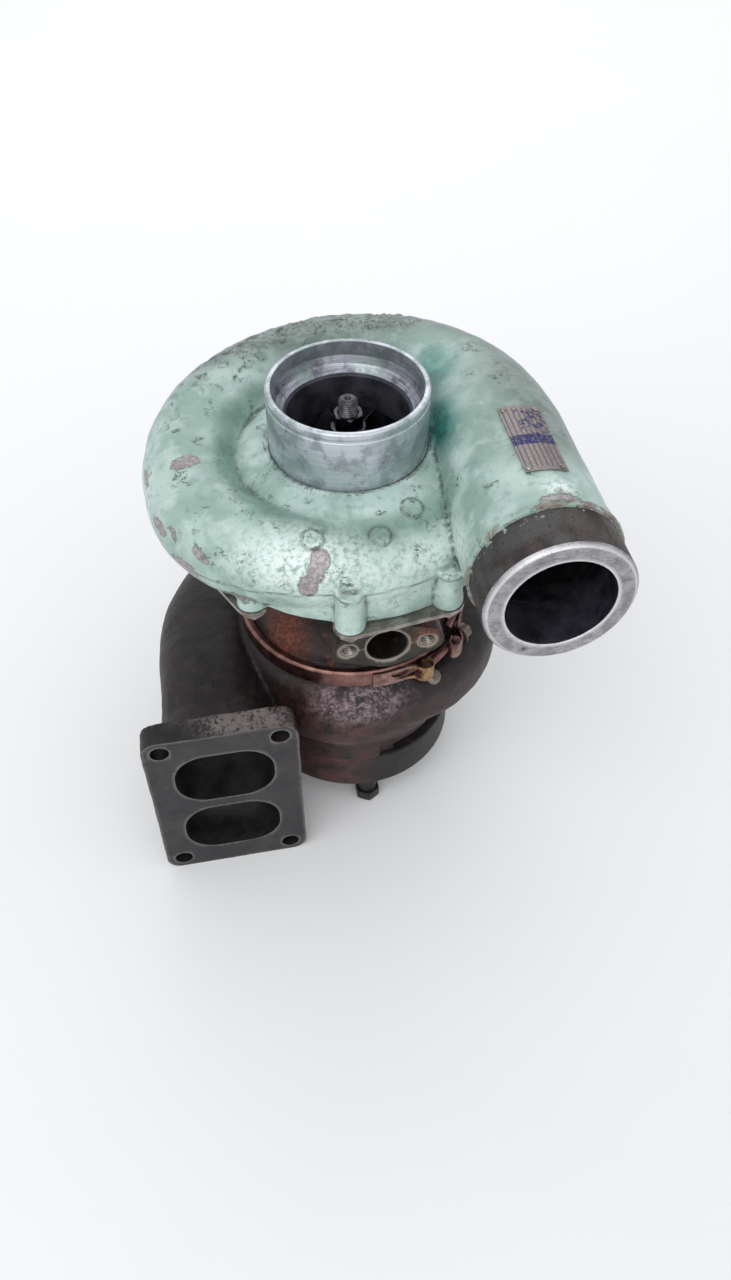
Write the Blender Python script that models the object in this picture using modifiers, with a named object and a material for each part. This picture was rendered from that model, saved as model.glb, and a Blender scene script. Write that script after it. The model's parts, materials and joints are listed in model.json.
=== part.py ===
"""Turbocharger of a heavy engine: compressor on top, bearing group, twin-entry turbine below.

Lengths are in millimetres and angles in degrees, and MM turns them to metres where a mesh is made.
Everything is drawn about the shaft's axis, which stands at the empty "shaft_axis"; z is the height above
the surface that the turbocharger stands on. The scrolls run clockwise, seen from the compressor's inlet.
"""

import math

import bmesh
import bpy
from mathutils import Matrix, Vector
from mathutils.geometry import convex_hull_2d

MM = 0.001
GAP = 0.3

# Compressor housing
INLET_TOP = 339.0
INLET_RADIUS = 50.0
INLET_BORE = 46.4
INLET_BASE = 298.3
INLET_STEP = 319.0
TUBE_FOOT = 294.5
INDUCER_BORE = 37.8
INDUCER_EDGE = 299.0
COVER_BOTTOM = 238.5
COVER_RIM = 100.5
DIFFUSER_LOW = 255.0
DIFFUSER_HIGH = 261.0
DIFFUSER_END = 82.0
EXDUCER = 50.0
COMPRESSOR_BLADES = 7
SCROLL_START = -75.0
SCROLL_TURN = 285.0
SCROLL_SMALL = 24.0
SCROLL_LARGE = 45.3
SCROLL_LOW = 237.0
SCROLL_WALL = 7.0
SCROLL_FLOOR = 253.0
SCROLL_OUTER = 101.0
SCROLL_STEP = 24.0
SCROLL_BACK = 5.5
OUTLET_X = 94.0
OUTLET_Y = -148.0
OUTLET_BAND = 30.0
OUTLET_BORE = 32.6
PLATE_SEAT = 45.9
PIPE_BEAD = 1.4
BOLT_COUNT = 10
BOLT_CIRCLE = 102.0
BOLT_FIRST = -100.0
BOSS_RADIUS = 10.5
BOSS_TOP = 266.0
BACKPLATE_RADIUS = 94.0
BACKPLATE_STEP = 246.0
PLATE_THICKNESS = 3.0

# Bearing group
HOUSING_TOP = 238.2
HOUSING_LOW = 157.1
HOUSING_TOP_RADIUS = 82.0
JOURNAL = 8.0
JOURNAL_LENGTH = 12.0
JOURNAL_BORE = 11.35
JOURNAL_Z = (205.5, 167.0)
SHAFT_THIN = 6.2
INSERT_RADIUS = 24.0
DRAIN_Y = -83.0
DRAIN_Z = 193.4
DRAIN_X = 10.0
DRAIN_BORE = 13.4
DRAIN_SPACING = 52.0
OIL_INLET_Y = 78.0
V_FLANGE = 76.0
V_WAIST = 71.5

# Turbine
TURBINE_TOP = 156.8
TURBINE_TIP = 46.0
TURBINE_BLADES = 11
PORT_X = -106.0
PORT_Z = 76.0
PORT_Y = -103.0
PORT_SIZE = (68.0, 50.0)
PORT_DIVIDER = 10.0
FLANGE_SIZE = (104.0, 152.0)
FLANGE_HOLES = (79.8, 130.4)
FLANGE_HOLE = 6.4
FLANGE_THICKNESS = 18.0
TURBINE_WALL = 7.0
DUCT_LENGTH = 55.0
GAS_TURN = 262.0
SCROLL_WALL_MORE = 3.0
GAS_OUTER = 143.0
GAS_LOW = 62.5
GAS_HIGH = 147.0
RING_TOP = 60.0
RING_LOW = 28.0
RING_RADIUS = 75.3
RING_BORE = 55.0
RING_BOLTS = 64.0

# The shaft stands where the middle of the whole, seen from above, is at x = 0 and y = 0
AXIS_X = -(PORT_X - FLANGE_SIZE[0] / 2 + OUTLET_X + SCROLL_LARGE + PIPE_BEAD) / 2
AXIS_Y = 4.1

STEPS = 30
STEPS_INSIDE = 20

PAINT = ("paint_green", (0.42, 0.58, 0.52), 0.5, 0.0)
CAST_IRON = ("cast_iron_turbine", (0.09, 0.07, 0.065), 0.7, 0.5)
RUSTED = ("cast_iron_bearing", (0.22, 0.1, 0.07), 0.75, 0.4)
STEEL = ("steel", (0.42, 0.4, 0.38), 0.4, 1.0)
BAND_STEEL = ("band_steel", (0.36, 0.26, 0.23), 0.4, 1.0)
ALUMINIUM = ("aluminium", (0.6, 0.6, 0.61), 0.35, 1.0)
NICKEL = ("nickel_alloy", (0.3, 0.27, 0.25), 0.45, 1.0)
BRONZE = ("bronze", (0.55, 0.36, 0.17), 0.4, 1.0)
RUBBER = ("rubber", (0.03, 0.03, 0.03), 0.8, 0.0)


# ---------------------------------------------------------------- scene and modelling helpers


def clear_scene():
    for thing in list(bpy.data.objects):
        bpy.data.objects.remove(thing, do_unlink=True)


def collection(name):
    made = bpy.data.collections.new(name)
    bpy.context.scene.collection.children.link(made)
    return made


def empty(name, location):
    made = bpy.data.objects.new(name, None)
    made.location = Vector(location) * MM
    pieces.objects.link(made)
    return made


def material(finish):
    name, colour, roughness, metallic = finish
    made = bpy.data.materials.get(name)
    if made is None:
        made = bpy.data.materials.new(name)
        made.use_nodes = True
        shader = made.node_tree.nodes["Principled BSDF"]
        shader.inputs["Base Color"].default_value = (*colour, 1.0)
        shader.inputs["Roughness"].default_value = roughness
        shader.inputs["Metallic"].default_value = metallic
    return made


def helper(name, mesh):
    """A working shape about the shaft axis: it becomes a piece, a cutter or a part of a union."""
    made = bpy.data.objects.new(name, mesh)
    cutters.objects.link(made)
    made.parent = shaft_axis
    made.hide_render = True
    made.display_type = "WIRE"
    return made


def settle(shape):
    """Gives the shape the mesh that its modifiers make, and drops the modifiers."""
    graph = bpy.context.evaluated_depsgraph_get()
    mesh = bpy.data.meshes.new_from_object(shape.evaluated_get(graph))
    shape.modifiers.clear()
    shape.data = mesh
    return shape


def boolean(shape, tool, operation):
    step = shape.modifiers.new(tool.name, "BOOLEAN")
    step.operation = operation
    step.solver = "EXACT"
    step.object = tool
    return settle(shape)


def join(shape, *tools):
    for tool in tools:
        boolean(shape, tool, "UNION")
    return shape


def cut(shape, *tools):
    for tool in tools:
        boolean(shape, tool, "DIFFERENCE")
    return shape


def piece(shape, name, finish, holder):
    """Makes a settled shape one of the object's pieces, shaded smooth up to its edges."""
    settle(shape)
    shape.name = name
    shape.data.name = name
    shape.data.materials.clear()
    shape.data.materials.append(material(finish))
    shape.data.shade_smooth()
    shape.data.set_sharp_from_angle(angle=math.radians(32))
    cutters.objects.unlink(shape)
    pieces.objects.link(shape)
    shape.parent = holder
    shape.hide_render = False
    shape.display_type = "TEXTURED"
    return shape


def from_bmesh(name, bm):
    bmesh.ops.recalc_face_normals(bm, faces=bm.faces)
    mesh = bpy.data.meshes.new(name)
    bm.to_mesh(mesh)
    bm.free()
    return helper(name, mesh)


def turned(name, profile, steps=STEPS):
    """A turned shape: (radius, z) points that run down its outer side.

    A profile that starts on the axis also ends there; any other is closed into a ring. It starts half a step
    round, so that no seam lies where holes are drilled.
    """
    bm = bmesh.new()
    start = 180 / steps
    points = [bm.verts.new(around(radius, start, z) * MM) for radius, z in profile]
    for first, second in zip(points, points[1:]):
        bm.edges.new((first, second))
    if profile[0][0] > 0:
        bm.edges.new((points[-1], points[0]))
    mesh = bpy.data.meshes.new(name)
    bm.to_mesh(mesh)
    bm.free()
    shape = helper(name, mesh)
    screw = shape.modifiers.new("turn", "SCREW")
    screw.axis = "Z"
    screw.steps = steps
    screw.render_steps = steps
    screw.use_merge_vertices = True
    screw.merge_threshold = 0.00001
    return settle(shape)


def ring(name, inner, outer, low, high, steps=STEPS):
    return turned(name, [(inner, high), (outer, high), (outer, low), (inner, low)], steps)


def rod(name, radius, start, end, sides=24, end_radius=None):
    """A cylinder or cone from one point to another."""
    start, end = Vector(start) * MM, Vector(end) * MM
    bm = bmesh.new()
    bmesh.ops.create_cone(
        bm,
        cap_ends=True,
        segments=sides,
        radius1=radius * MM,
        radius2=(radius if end_radius is None else end_radius) * MM,
        depth=(end - start).length,
    )
    turn = (end - start).to_track_quat("Z", "Y").to_matrix().to_4x4()
    bmesh.ops.transform(bm, matrix=Matrix.Translation((start + end) / 2) @ turn, verts=bm.verts)
    return from_bmesh(name, bm)


def hull_outline(circles, sides=24):
    """The outline of a belt pulled round circles given as (x, y, radius)."""
    points = [
        Vector((x + radius * math.cos(turn), y + radius * math.sin(turn)))
        for x, y, radius in circles
        for turn in (math.tau * i / sides for i in range(sides))
    ]
    return [points[i] for i in convex_hull_2d(points)]


def plate(name, outline, thickness, placing):
    """A flat outline made into a plate, centred on its own plane, then placed by a matrix."""
    curve = bpy.data.curves.new(name, "CURVE")
    curve.dimensions = "2D"
    curve.fill_mode = "BOTH"
    curve.extrude = thickness * MM / 2
    spline = curve.splines.new("POLY")
    spline.points.add(len(outline) - 1)
    for point, (x, y) in zip(spline.points, outline):
        point.co = (x * MM, y * MM, 0, 1)
    spline.use_cyclic_u = True
    flat = bpy.data.objects.new(name, curve)
    cutters.objects.link(flat)
    graph = bpy.context.evaluated_depsgraph_get()
    bm = bmesh.new()
    bm.from_mesh(bpy.data.meshes.new_from_object(flat.evaluated_get(graph)))
    bpy.data.objects.remove(flat)
    bmesh.ops.remove_doubles(bm, verts=bm.verts, dist=0.00001)
    bmesh.ops.dissolve_limit(bm, angle_limit=0.01, verts=bm.verts, edges=bm.edges)
    bmesh.ops.transform(bm, matrix=placing, verts=bm.verts)
    return from_bmesh(name, bm)


def facing_front(x, y, z):
    """Stands a plate's plane up, so that it faces -Y, with its middle at the point."""
    return Matrix.Translation(Vector((x, y, z)) * MM) @ Matrix.Rotation(math.radians(90), 4, "X")


def loft(name, rings):
    """A closed body through rings of points that match one another."""
    bm = bmesh.new()
    rows = [[bm.verts.new(point * MM) for point in one] for one in rings]
    for low, high in zip(rows, rows[1:]):
        for i in range(len(low)):
            j = (i + 1) % len(low)
            bm.faces.new((low[i], low[j], high[j], high[i]))
    bm.faces.new(list(reversed(rows[0])))
    bm.faces.new(rows[-1])
    return from_bmesh(name, bm)


def around(radius, angle, z=0.0):
    return Vector((radius * math.cos(math.radians(angle)), radius * math.sin(math.radians(angle)), z))


def smooth(value):
    value = min(max(value, 0.0), 1.0)
    return value * value * (3 - 2 * value)


def mix(a, b, share):
    return a + (b - a) * share


# ---------------------------------------------------------------- compressor housing


def scroll_size(turn):
    """The scroll's section at a turn from its start: the radius of its circle, and the circle's middle.

    The circle's area grows steadily. Its outer edge leaves the cover's rim in the first part of the turn, and
    stands a little further out over the back.
    """
    share = max(turn, 0.0) / SCROLL_TURN
    radius = math.sqrt(mix(SCROLL_SMALL**2, SCROLL_LARGE**2, share))
    outer = mix(SCROLL_OUTER, OUTLET_X + SCROLL_LARGE - SCROLL_STEP, share)
    outer += SCROLL_STEP * smooth((turn - 25) / 70)
    outer += SCROLL_BACK * smooth((turn - 95) / 60) * smooth((SCROLL_TURN - turn) / 60)
    return radius, outer - radius


def circle_ring(middle, outward, radius, floor, count=20):
    """A circle in the plane of outward and +Z, with its underside cut off level at the floor."""
    points = []
    for i in range(count):
        turn = math.tau * i / count
        point = middle + outward * (radius * math.cos(turn)) + Vector((0, 0, radius * math.sin(turn)))
        point.z = max(point.z, floor)
        points.append(point)
    return points


def scroll_rings(wall, floor, first_turn, last_turn, count):
    """Sections round the compressor scroll, their circles smaller by the wall."""
    rings = []
    for i in range(count + 1):
        turn = mix(first_turn, last_turn, i / count)
        radius, middle = scroll_size(turn)
        angle = SCROLL_START - turn
        centre = around(middle, angle, SCROLL_LOW + radius)
        rings.append(circle_ring(centre, around(1, angle), radius - wall, floor))
    return rings


def pipe_ring(y, radius, floor=0.0):
    """A section of the straight outlet pipe."""
    centre = Vector((OUTLET_X, y, SCROLL_LOW + SCROLL_LARGE))
    return circle_ring(centre, Vector((1, 0, 0)), radius, floor)


def shroud(share, clearance):
    """The wheel's outer line from the leading edge down and out to the rim, with a clearance to it."""
    bend = math.radians(90 * share)
    radius = mix(INDUCER_BORE - 0.7, EXDUCER - 0.4, (1 - math.cos(bend)) ** 1.2)
    height = mix(INDUCER_EDGE, DIFFUSER_HIGH - 0.7, math.sin(bend))
    return radius + clearance, height + clearance * share


def compressor_housing():
    band_start = OUTLET_Y + OUTLET_BAND
    outer = scroll_rings(0.0, 0.0, 0.0, SCROLL_TURN, 17)
    outer += [pipe_ring(-25, PLATE_SEAT), pipe_ring(-90, PLATE_SEAT)]
    outer += [pipe_ring(band_start, SCROLL_LARGE + PIPE_BEAD)]
    outer += [pipe_ring(band_start - 0.5, SCROLL_LARGE), pipe_ring(OUTLET_Y + 2.5, SCROLL_LARGE)]
    outer += [pipe_ring(OUTLET_Y, SCROLL_LARGE - 2.5)]
    passage = scroll_rings(SCROLL_WALL, SCROLL_FLOOR, 6.0, SCROLL_TURN, 16)
    passage += [pipe_ring(-50, SCROLL_LARGE - SCROLL_WALL - 1, SCROLL_FLOOR - 4)]
    passage += [pipe_ring(-90, OUTLET_BORE + 1), pipe_ring(OUTLET_Y - 5, OUTLET_BORE)]
    body = loft("compressor_scroll", outer)
    tongue = loft("tongue", scroll_rings(0.2, 0.0, -32.0, 8.0, 4))
    middle = turned(
        "cover",
        [
            (20, INLET_BASE - 0.6),
            (INLET_RADIUS + 4, INLET_BASE - 0.6),
            (64, INLET_BASE - 3.5),
            (78, 289),
            (86, 275),
            (COVER_RIM, 262),
            (COVER_RIM, COVER_BOTTOM - 4),
            (20, COVER_BOTTOM - 4),
        ],
    )
    bosses = []
    for i in range(BOLT_COUNT):
        spot = around(BOLT_CIRCLE, BOLT_FIRST + 360 / BOLT_COUNT * i)
        foot, top = (Vector((spot.x, spot.y, z)) for z in (COVER_BOTTOM - 3, BOSS_TOP))
        bosses.append(rod(f"boss_{i}", BOSS_RADIUS, foot, top, 14, BOSS_RADIUS - 2.5))
    join(body, tongue, middle, *bosses)
    bore = turned(
        "cover_bore",
        [
            (0, INLET_BASE + 5),
            (INLET_RADIUS + GAP, INLET_BASE + 5),
            (INLET_RADIUS + GAP, TUBE_FOOT - GAP),
            (INDUCER_BORE, TUBE_FOOT - GAP),
            *[shroud(i / 4, 0.7) for i in range(1, 5)],
            (DIFFUSER_END, DIFFUSER_HIGH),
            (DIFFUSER_END, BACKPLATE_STEP),
            (BACKPLATE_RADIUS, BACKPLATE_STEP),
            (BACKPLATE_RADIUS, COVER_BOTTOM - 5),
            (0, COVER_BOTTOM - 5),
        ],
    )
    trim_radius = BOLT_CIRCLE + BOSS_RADIUS + 2
    trim = rod("foot_trim", trim_radius, (0, 0, COVER_BOTTOM - 20), (0, 0, COVER_BOTTOM), 40)
    cut(body, trim, bore, loft("compressor_passage", passage))
    for i in range(BOLT_COUNT):
        spot = around(BOLT_CIRCLE, BOLT_FIRST + 360 / BOLT_COUNT * i)
        low, high = (Vector((spot.x, spot.y, z)) for z in (COVER_BOTTOM - 5, COVER_BOTTOM + 11))
        cut(body, rod(f"cover_bolt_hole_{i}", 4.5, low, high, 8))
    piece(body, "compressor_housing", PAINT, shaft_axis)


def inlet_tube():
    """The turned hose tube, let into the cover, with a groove below its lip and a bellmouth inside."""
    profile = [
        (INLET_BORE, INLET_TOP),
        (INLET_RADIUS - 1, INLET_TOP),
        (INLET_RADIUS, INLET_TOP - 1),
        (INLET_RADIUS, INLET_TOP - 4),
        (INLET_RADIUS - 0.7, INLET_TOP - 4.6),
        (INLET_RADIUS - 0.7, INLET_TOP - 6.4),
        (INLET_RADIUS, INLET_TOP - 7),
        (INLET_RADIUS, TUBE_FOOT),
        (INDUCER_BORE, TUBE_FOOT),
        (INDUCER_BORE, INLET_STEP),
        (INDUCER_BORE + 2.5, INLET_STEP + 1.2),
        (INLET_BORE - 2, INLET_STEP + 5),
        (INLET_BORE, INLET_STEP + 10),
    ]
    piece(turned("inlet_tube", profile), "inlet_tube", ALUMINIUM, shaft_axis)


def data_plate():
    """A thin plate bent round the outlet pipe, with a drive screw through each corner."""
    low, high, first, last = -87.0, -26.0, 68.0, 100.0
    inner, outer = PLATE_SEAT + GAP, PLATE_SEAT + GAP + 0.8
    centre = Vector((OUTLET_X, 0, SCROLL_LOW + SCROLL_LARGE))

    def on_pipe(radius, turn, y):
        flat = around(radius, turn)
        return centre + Vector((flat.x, y, flat.y))

    turns = [mix(first, last, i / 8) for i in range(9)]
    rings = []
    for y in (low, high):
        upper = [on_pipe(outer, turn, y) for turn in turns]
        rings.append(upper + [on_pipe(inner, turn, y) for turn in turns[::-1]])
    made = loft("data_plate", rings)
    corners = [(turn, y) for turn in (first + 3.5, last - 3.5) for y in (low + 3, high - 3)]
    for turn, y in corners:
        cut(made, rod("screw_hole", 1.5, on_pipe(inner - 3, turn, y), on_pipe(outer + 3, turn, y), 10))
    piece(made, "data_plate", ALUMINIUM, shaft_axis)
    for i, (turn, y) in enumerate(corners):
        screw = rod("screw", 1.1, on_pipe(inner, turn, y), on_pipe(outer + 0.6, turn, y), 8)
        head = on_pipe(outer + 0.25, turn, y), on_pipe(outer + 1.1, turn, y)
        join(screw, rod("screw_head", 2.2, *head, 10, 1.2))
        piece(screw, f"drive_screw_{i + 1}", STEEL, shaft_axis)


def clamp_plates_and_bolts():
    """Each plate spans two bosses and holds the backplate's edge up into the cover, by a bolt at each end."""
    high = COVER_BOTTOM - GAP
    low = high - PLATE_THICKNESS
    spots = [around(BOLT_CIRCLE, BOLT_FIRST + 360 / BOLT_COUNT * i) for i in range(BOLT_COUNT)]
    for i in range(BOLT_COUNT // 2):
        pair = spots[2 * i : 2 * i + 2]
        outline = hull_outline([(spot.x, spot.y, BOSS_RADIUS) for spot in pair], 16)
        placing = Matrix.Translation((0, 0, (high + low) / 2 * MM))
        made = plate("clamp", outline, PLATE_THICKNESS, placing)
        for spot in pair:
            cut(made, rod("clamp_hole", 4.5, (spot.x, spot.y, low - 5), (spot.x, spot.y, high + 5), 8))
        piece(made, f"clamp_plate_{i + 1}", STEEL, shaft_axis)
    for i, spot in enumerate(spots):
        head_top = low - GAP
        made = rod("bolt_head", 7.5, (spot.x, spot.y, head_top - 5.3), (spot.x, spot.y, head_top), 6)
        join(made, rod("shank", 4, (spot.x, spot.y, head_top - 2), (spot.x, spot.y, COVER_BOTTOM + 9), 8))
        piece(made, f"cover_bolt_{i + 1}", STEEL, shaft_axis)


def backplate_and_o_ring():
    top = DIFFUSER_LOW
    body = turned(
        "backplate",
        [
            (INSERT_RADIUS, 250.5),
            (EXDUCER + 1.5, 250.5),
            (EXDUCER + 1.5, top),
            (DIFFUSER_END - GAP, top),
            (DIFFUSER_END - GAP, 251.6),
            (DIFFUSER_END - 3, 251.6),
            (DIFFUSER_END - 3, 248),
            (DIFFUSER_END - GAP, 248),
            (DIFFUSER_END - GAP, BACKPLATE_STEP - GAP),
            (BACKPLATE_RADIUS - GAP, BACKPLATE_STEP - GAP),
            (BACKPLATE_RADIUS - GAP, COVER_BOTTOM),
            (INSERT_RADIUS, COVER_BOTTOM),
        ],
    )
    piece(body, "compressor_backplate", ALUMINIUM, shaft_axis)
    middle, thick = DIFFUSER_END - 1.5, 1.1
    turns = [math.tau * i / 6 for i in range(6)]
    section = [(middle + thick * math.sin(turn), 249.8 + thick * math.cos(turn)) for turn in turns]
    piece(turned("o_ring", section), "cover_o_ring", RUBBER, shaft_axis)


# ---------------------------------------------------------------- rotor


def blade(path, start, thickness, wrap, angle):
    """One blade: a curved sheet between its root and tip lines, thinner at the tip.

    path gives (root radius, root z, tip radius, tip z) at a share from its first edge to its last, and wrap
    gives how far the sheet has turned about the axis there.
    """
    count = 5
    rings = []
    for i in range(count + 1):
        share = mix(start, 1.0, i / count)
        root_r, root_z, tip_r, tip_z = path(share)
        turn = angle + wrap(share)
        ring_points = []
        for radius, z, thick, side in (
            (root_r, root_z, thickness, -1),
            (tip_r, tip_z, thickness * 0.6, -1),
            (tip_r, tip_z, thickness * 0.6, 1),
            (root_r, root_z, thickness, 1),
        ):
            ring_points.append(around(radius, turn + side * math.degrees(thick / 2 / radius), z))
        rings.append(ring_points)
    return loft("blade", rings)


def compressor_path(share):
    """Root and tip lines of a compressor blade, from the leading edge down and out to the rim."""
    bend = math.radians(90 * share)
    root = (mix(9.5, EXDUCER - 0.8, 1 - math.cos(bend)), mix(INDUCER_EDGE, 253.2, math.sin(bend)))
    return (*root, *shroud(share, 0.0))


def turbine_path(share):
    """Root and tip lines of a turbine blade, from the rim in and down to the trailing edge."""
    bend = math.radians(90 * share)
    root = (mix(9.0, TURBINE_TIP - 2, 1 - math.sin(bend)), mix(146.5, 111.0, 1 - math.cos(bend)))
    spread = (1 - math.sin(bend)) ** 1.4
    tip = (mix(40.9, TURBINE_TIP - 0.4, spread), mix(134.0, 110.0, 1 - math.cos(bend)))
    return (*root, *tip)


def compressor_wheel():
    body = turned(
        "compressor_hub",
        [
            (SHAFT_THIN + GAP, 306.5),
            (10.2, 306.5),
            (11, 305.5),
            (11.6, 292),
            (14.5, 280),
            (20, 268.5),
            (29, 260.5),
            (39, 256.3),
            (EXDUCER, 254.8),
            (EXDUCER, 252.4),
            (24, 251.4),
            (SHAFT_THIN + GAP, 251.4),
        ],
        4 * COMPRESSOR_BLADES,
    )
    for i in range(COMPRESSOR_BLADES):
        angle = 360 / COMPRESSOR_BLADES * i
        join(body, blade(compressor_path, 0.0, 1.7, lambda share: 58 * share, angle))
        half = angle + 180 / COMPRESSOR_BLADES
        join(body, blade(compressor_path, 0.38, 1.7, lambda share: 58 * share, half))
    piece(body, "compressor_wheel", ALUMINIUM, rotor_axis)


def turbine_wheel():
    body = turned(
        "turbine_hub",
        [
            (0, 149),
            (11.5, 149),
            (12.5, 148.6),
            (TURBINE_TIP - 4, 148.4),
            (TURBINE_TIP - 4, 146.4),
            (30, 144.6),
            (20, 137),
            (13.5, 126),
            (11.5, 114),
            (11, 106),
            (9, 103.5),
            (0, 103.5),
        ],
        2 * TURBINE_BLADES,
    )
    for i in range(TURBINE_BLADES):
        join(body, blade(turbine_path, 0.0, 2.2, lambda share: 48 * share**2, 360 / TURBINE_BLADES * i))
    piece(body, "turbine_wheel", NICKEL, rotor_axis)


def rotor_shaft_and_nut():
    thin, thick = SHAFT_THIN, JOURNAL
    shaft = turned(
        "shaft",
        [
            (0, 329),
            (thin - 1.2, 329),
            (thin - 0.2, 328),
            (thin - 0.2, 307),
            (thin, 306),
            (thin, 222),
            (thick, 222),
            (thick, 201),
            (thick - 0.8, 200),
            (thick - 0.8, 184),
            (thick, 183),
            (thick, 163.5),
            (12, 163),
            (12, 161.2),
            (10.6, 161.2),
            (10.6, 158.8),
            (12, 158.8),
            (12, 149.8),
            (11, 149.3),
            (0, 149.3),
        ],
        STEPS_INSIDE,
    )
    piece(shaft, "rotor_shaft", STEEL, rotor_axis)
    nut = rod("nut", 17 / math.sqrt(3), (0, 0, 306.8), (0, 0, 319), 6)
    join(nut, rod("nut_collar", 11.2, (0, 0, 306.8), (0, 0, 309.3), STEPS_INSIDE))
    cut(nut, rod("nut_thread", thin + 0.15, (0, 0, 300), (0, 0, 325), STEPS_INSIDE))
    piece(nut, "shaft_nut", STEEL, rotor_axis)


def thrust_collar_and_flinger():
    inner = SHAFT_THIN + GAP
    collar = turned(
        "collar",
        [
            (inner, 232.5),
            (14, 232.5),
            (14, 229.7),
            (9.6, 229.7),
            (9.6, 225),
            (14, 225),
            (14, 222.3),
            (inner, 222.3),
        ],
        STEPS_INSIDE,
    )
    piece(collar, "thrust_collar", STEEL, rotor_axis)
    flinger = turned(
        "flinger",
        [
            (inner, 251.1),
            (12.5, 251.1),
            (12.5, 245.4),
            (10.7, 245.4),
            (10.7, 243),
            (12.5, 243),
            (12.5, 235.7),
            (17, 235.3),
            (17, 233),
            (inner, 232.8),
        ],
        STEPS_INSIDE,
    )
    piece(flinger, "oil_flinger", STEEL, rotor_axis)


# ---------------------------------------------------------------- bearing group


def seal_ring(name, z):
    """A piston ring with its open joint at the back."""
    made = ring(name, 11.1, 12.95, z, z + 1.7, STEPS_INSIDE)
    cut(made, rod("joint", 0.6, (0, 8, z + 0.8), (0, 16, z + 0.8), 8, None))
    return made


def bearings_and_seals():
    for name, low in zip(("compressor", "turbine"), JOURNAL_Z):
        sleeve = ring("sleeve", JOURNAL + 0.35, JOURNAL_BORE - 0.35, low, low + JOURNAL_LENGTH, STEPS_INSIDE)
        for i in range(2):
            way = around(1, 180 * i + 45)
            middle = Vector((0, 0, low + JOURNAL_LENGTH / 2))
            cut(sleeve, rod("oil_hole", 1.5, middle + way * 5, middle + way * 15, 8))
        holder = journal_axes[name]
        piece(sleeve, f"journal_bearing_{name}", BRONZE, holder)
    for i, low in enumerate(retainer_heights()):
        clip = ring("clip", 9.0, JOURNAL_BORE + 0.8, low, low + 1.2, STEPS_INSIDE)
        clip = cut(clip, rod("clip_joint", 2.2, (0, 5, low + 0.6), (0, 16, low + 0.6), 8))
        piece(clip, f"journal_retainer_{i + 1}", STEEL, shaft_axis)
    thrust = ring("thrust", 10.2, INSERT_RADIUS - GAP, 225.35, 229.35, STEPS_INSIDE)
    for i in range(4):
        spot = around(18.5, 90 * i)
        cut(thrust, rod("thrust_hole", 1.8, (spot.x, spot.y, 220), (spot.x, spot.y, 240), 8))
    piece(thrust, "thrust_bearing", BRONZE, shaft_axis)
    insert = ring("insert", 13.25, INSERT_RADIUS - GAP, 236.2, 250.2, STEPS_INSIDE)
    cut(insert, ring("insert_recess", 1, 19, 230, 237.6, STEPS_INSIDE))
    piece(insert, "seal_plate", STEEL, shaft_axis)


def retainer_heights():
    """Undersides of the four retaining rings, one at each end of each journal bearing."""
    return [z for low in JOURNAL_Z for z in (low - 0.5 - 1.2, low + JOURNAL_LENGTH + 0.5)]


def land(low):
    """The stepped bore of one journal: a groove for a retaining ring at each end of the bearing."""
    below, above = low - 0.5 - 1.2, low + JOURNAL_LENGTH + 0.5
    bore, groove = JOURNAL_BORE, JOURNAL_BORE + 1.1
    return [
        (bore, above + 3),
        (bore, above + 1.5),
        (groove, above + 1.5),
        (groove, above - GAP),
        (bore, above - GAP),
        (bore, below + 1.5),
        (groove, below + 1.5),
        (groove, below - GAP),
        (bore, below - GAP),
    ]


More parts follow.
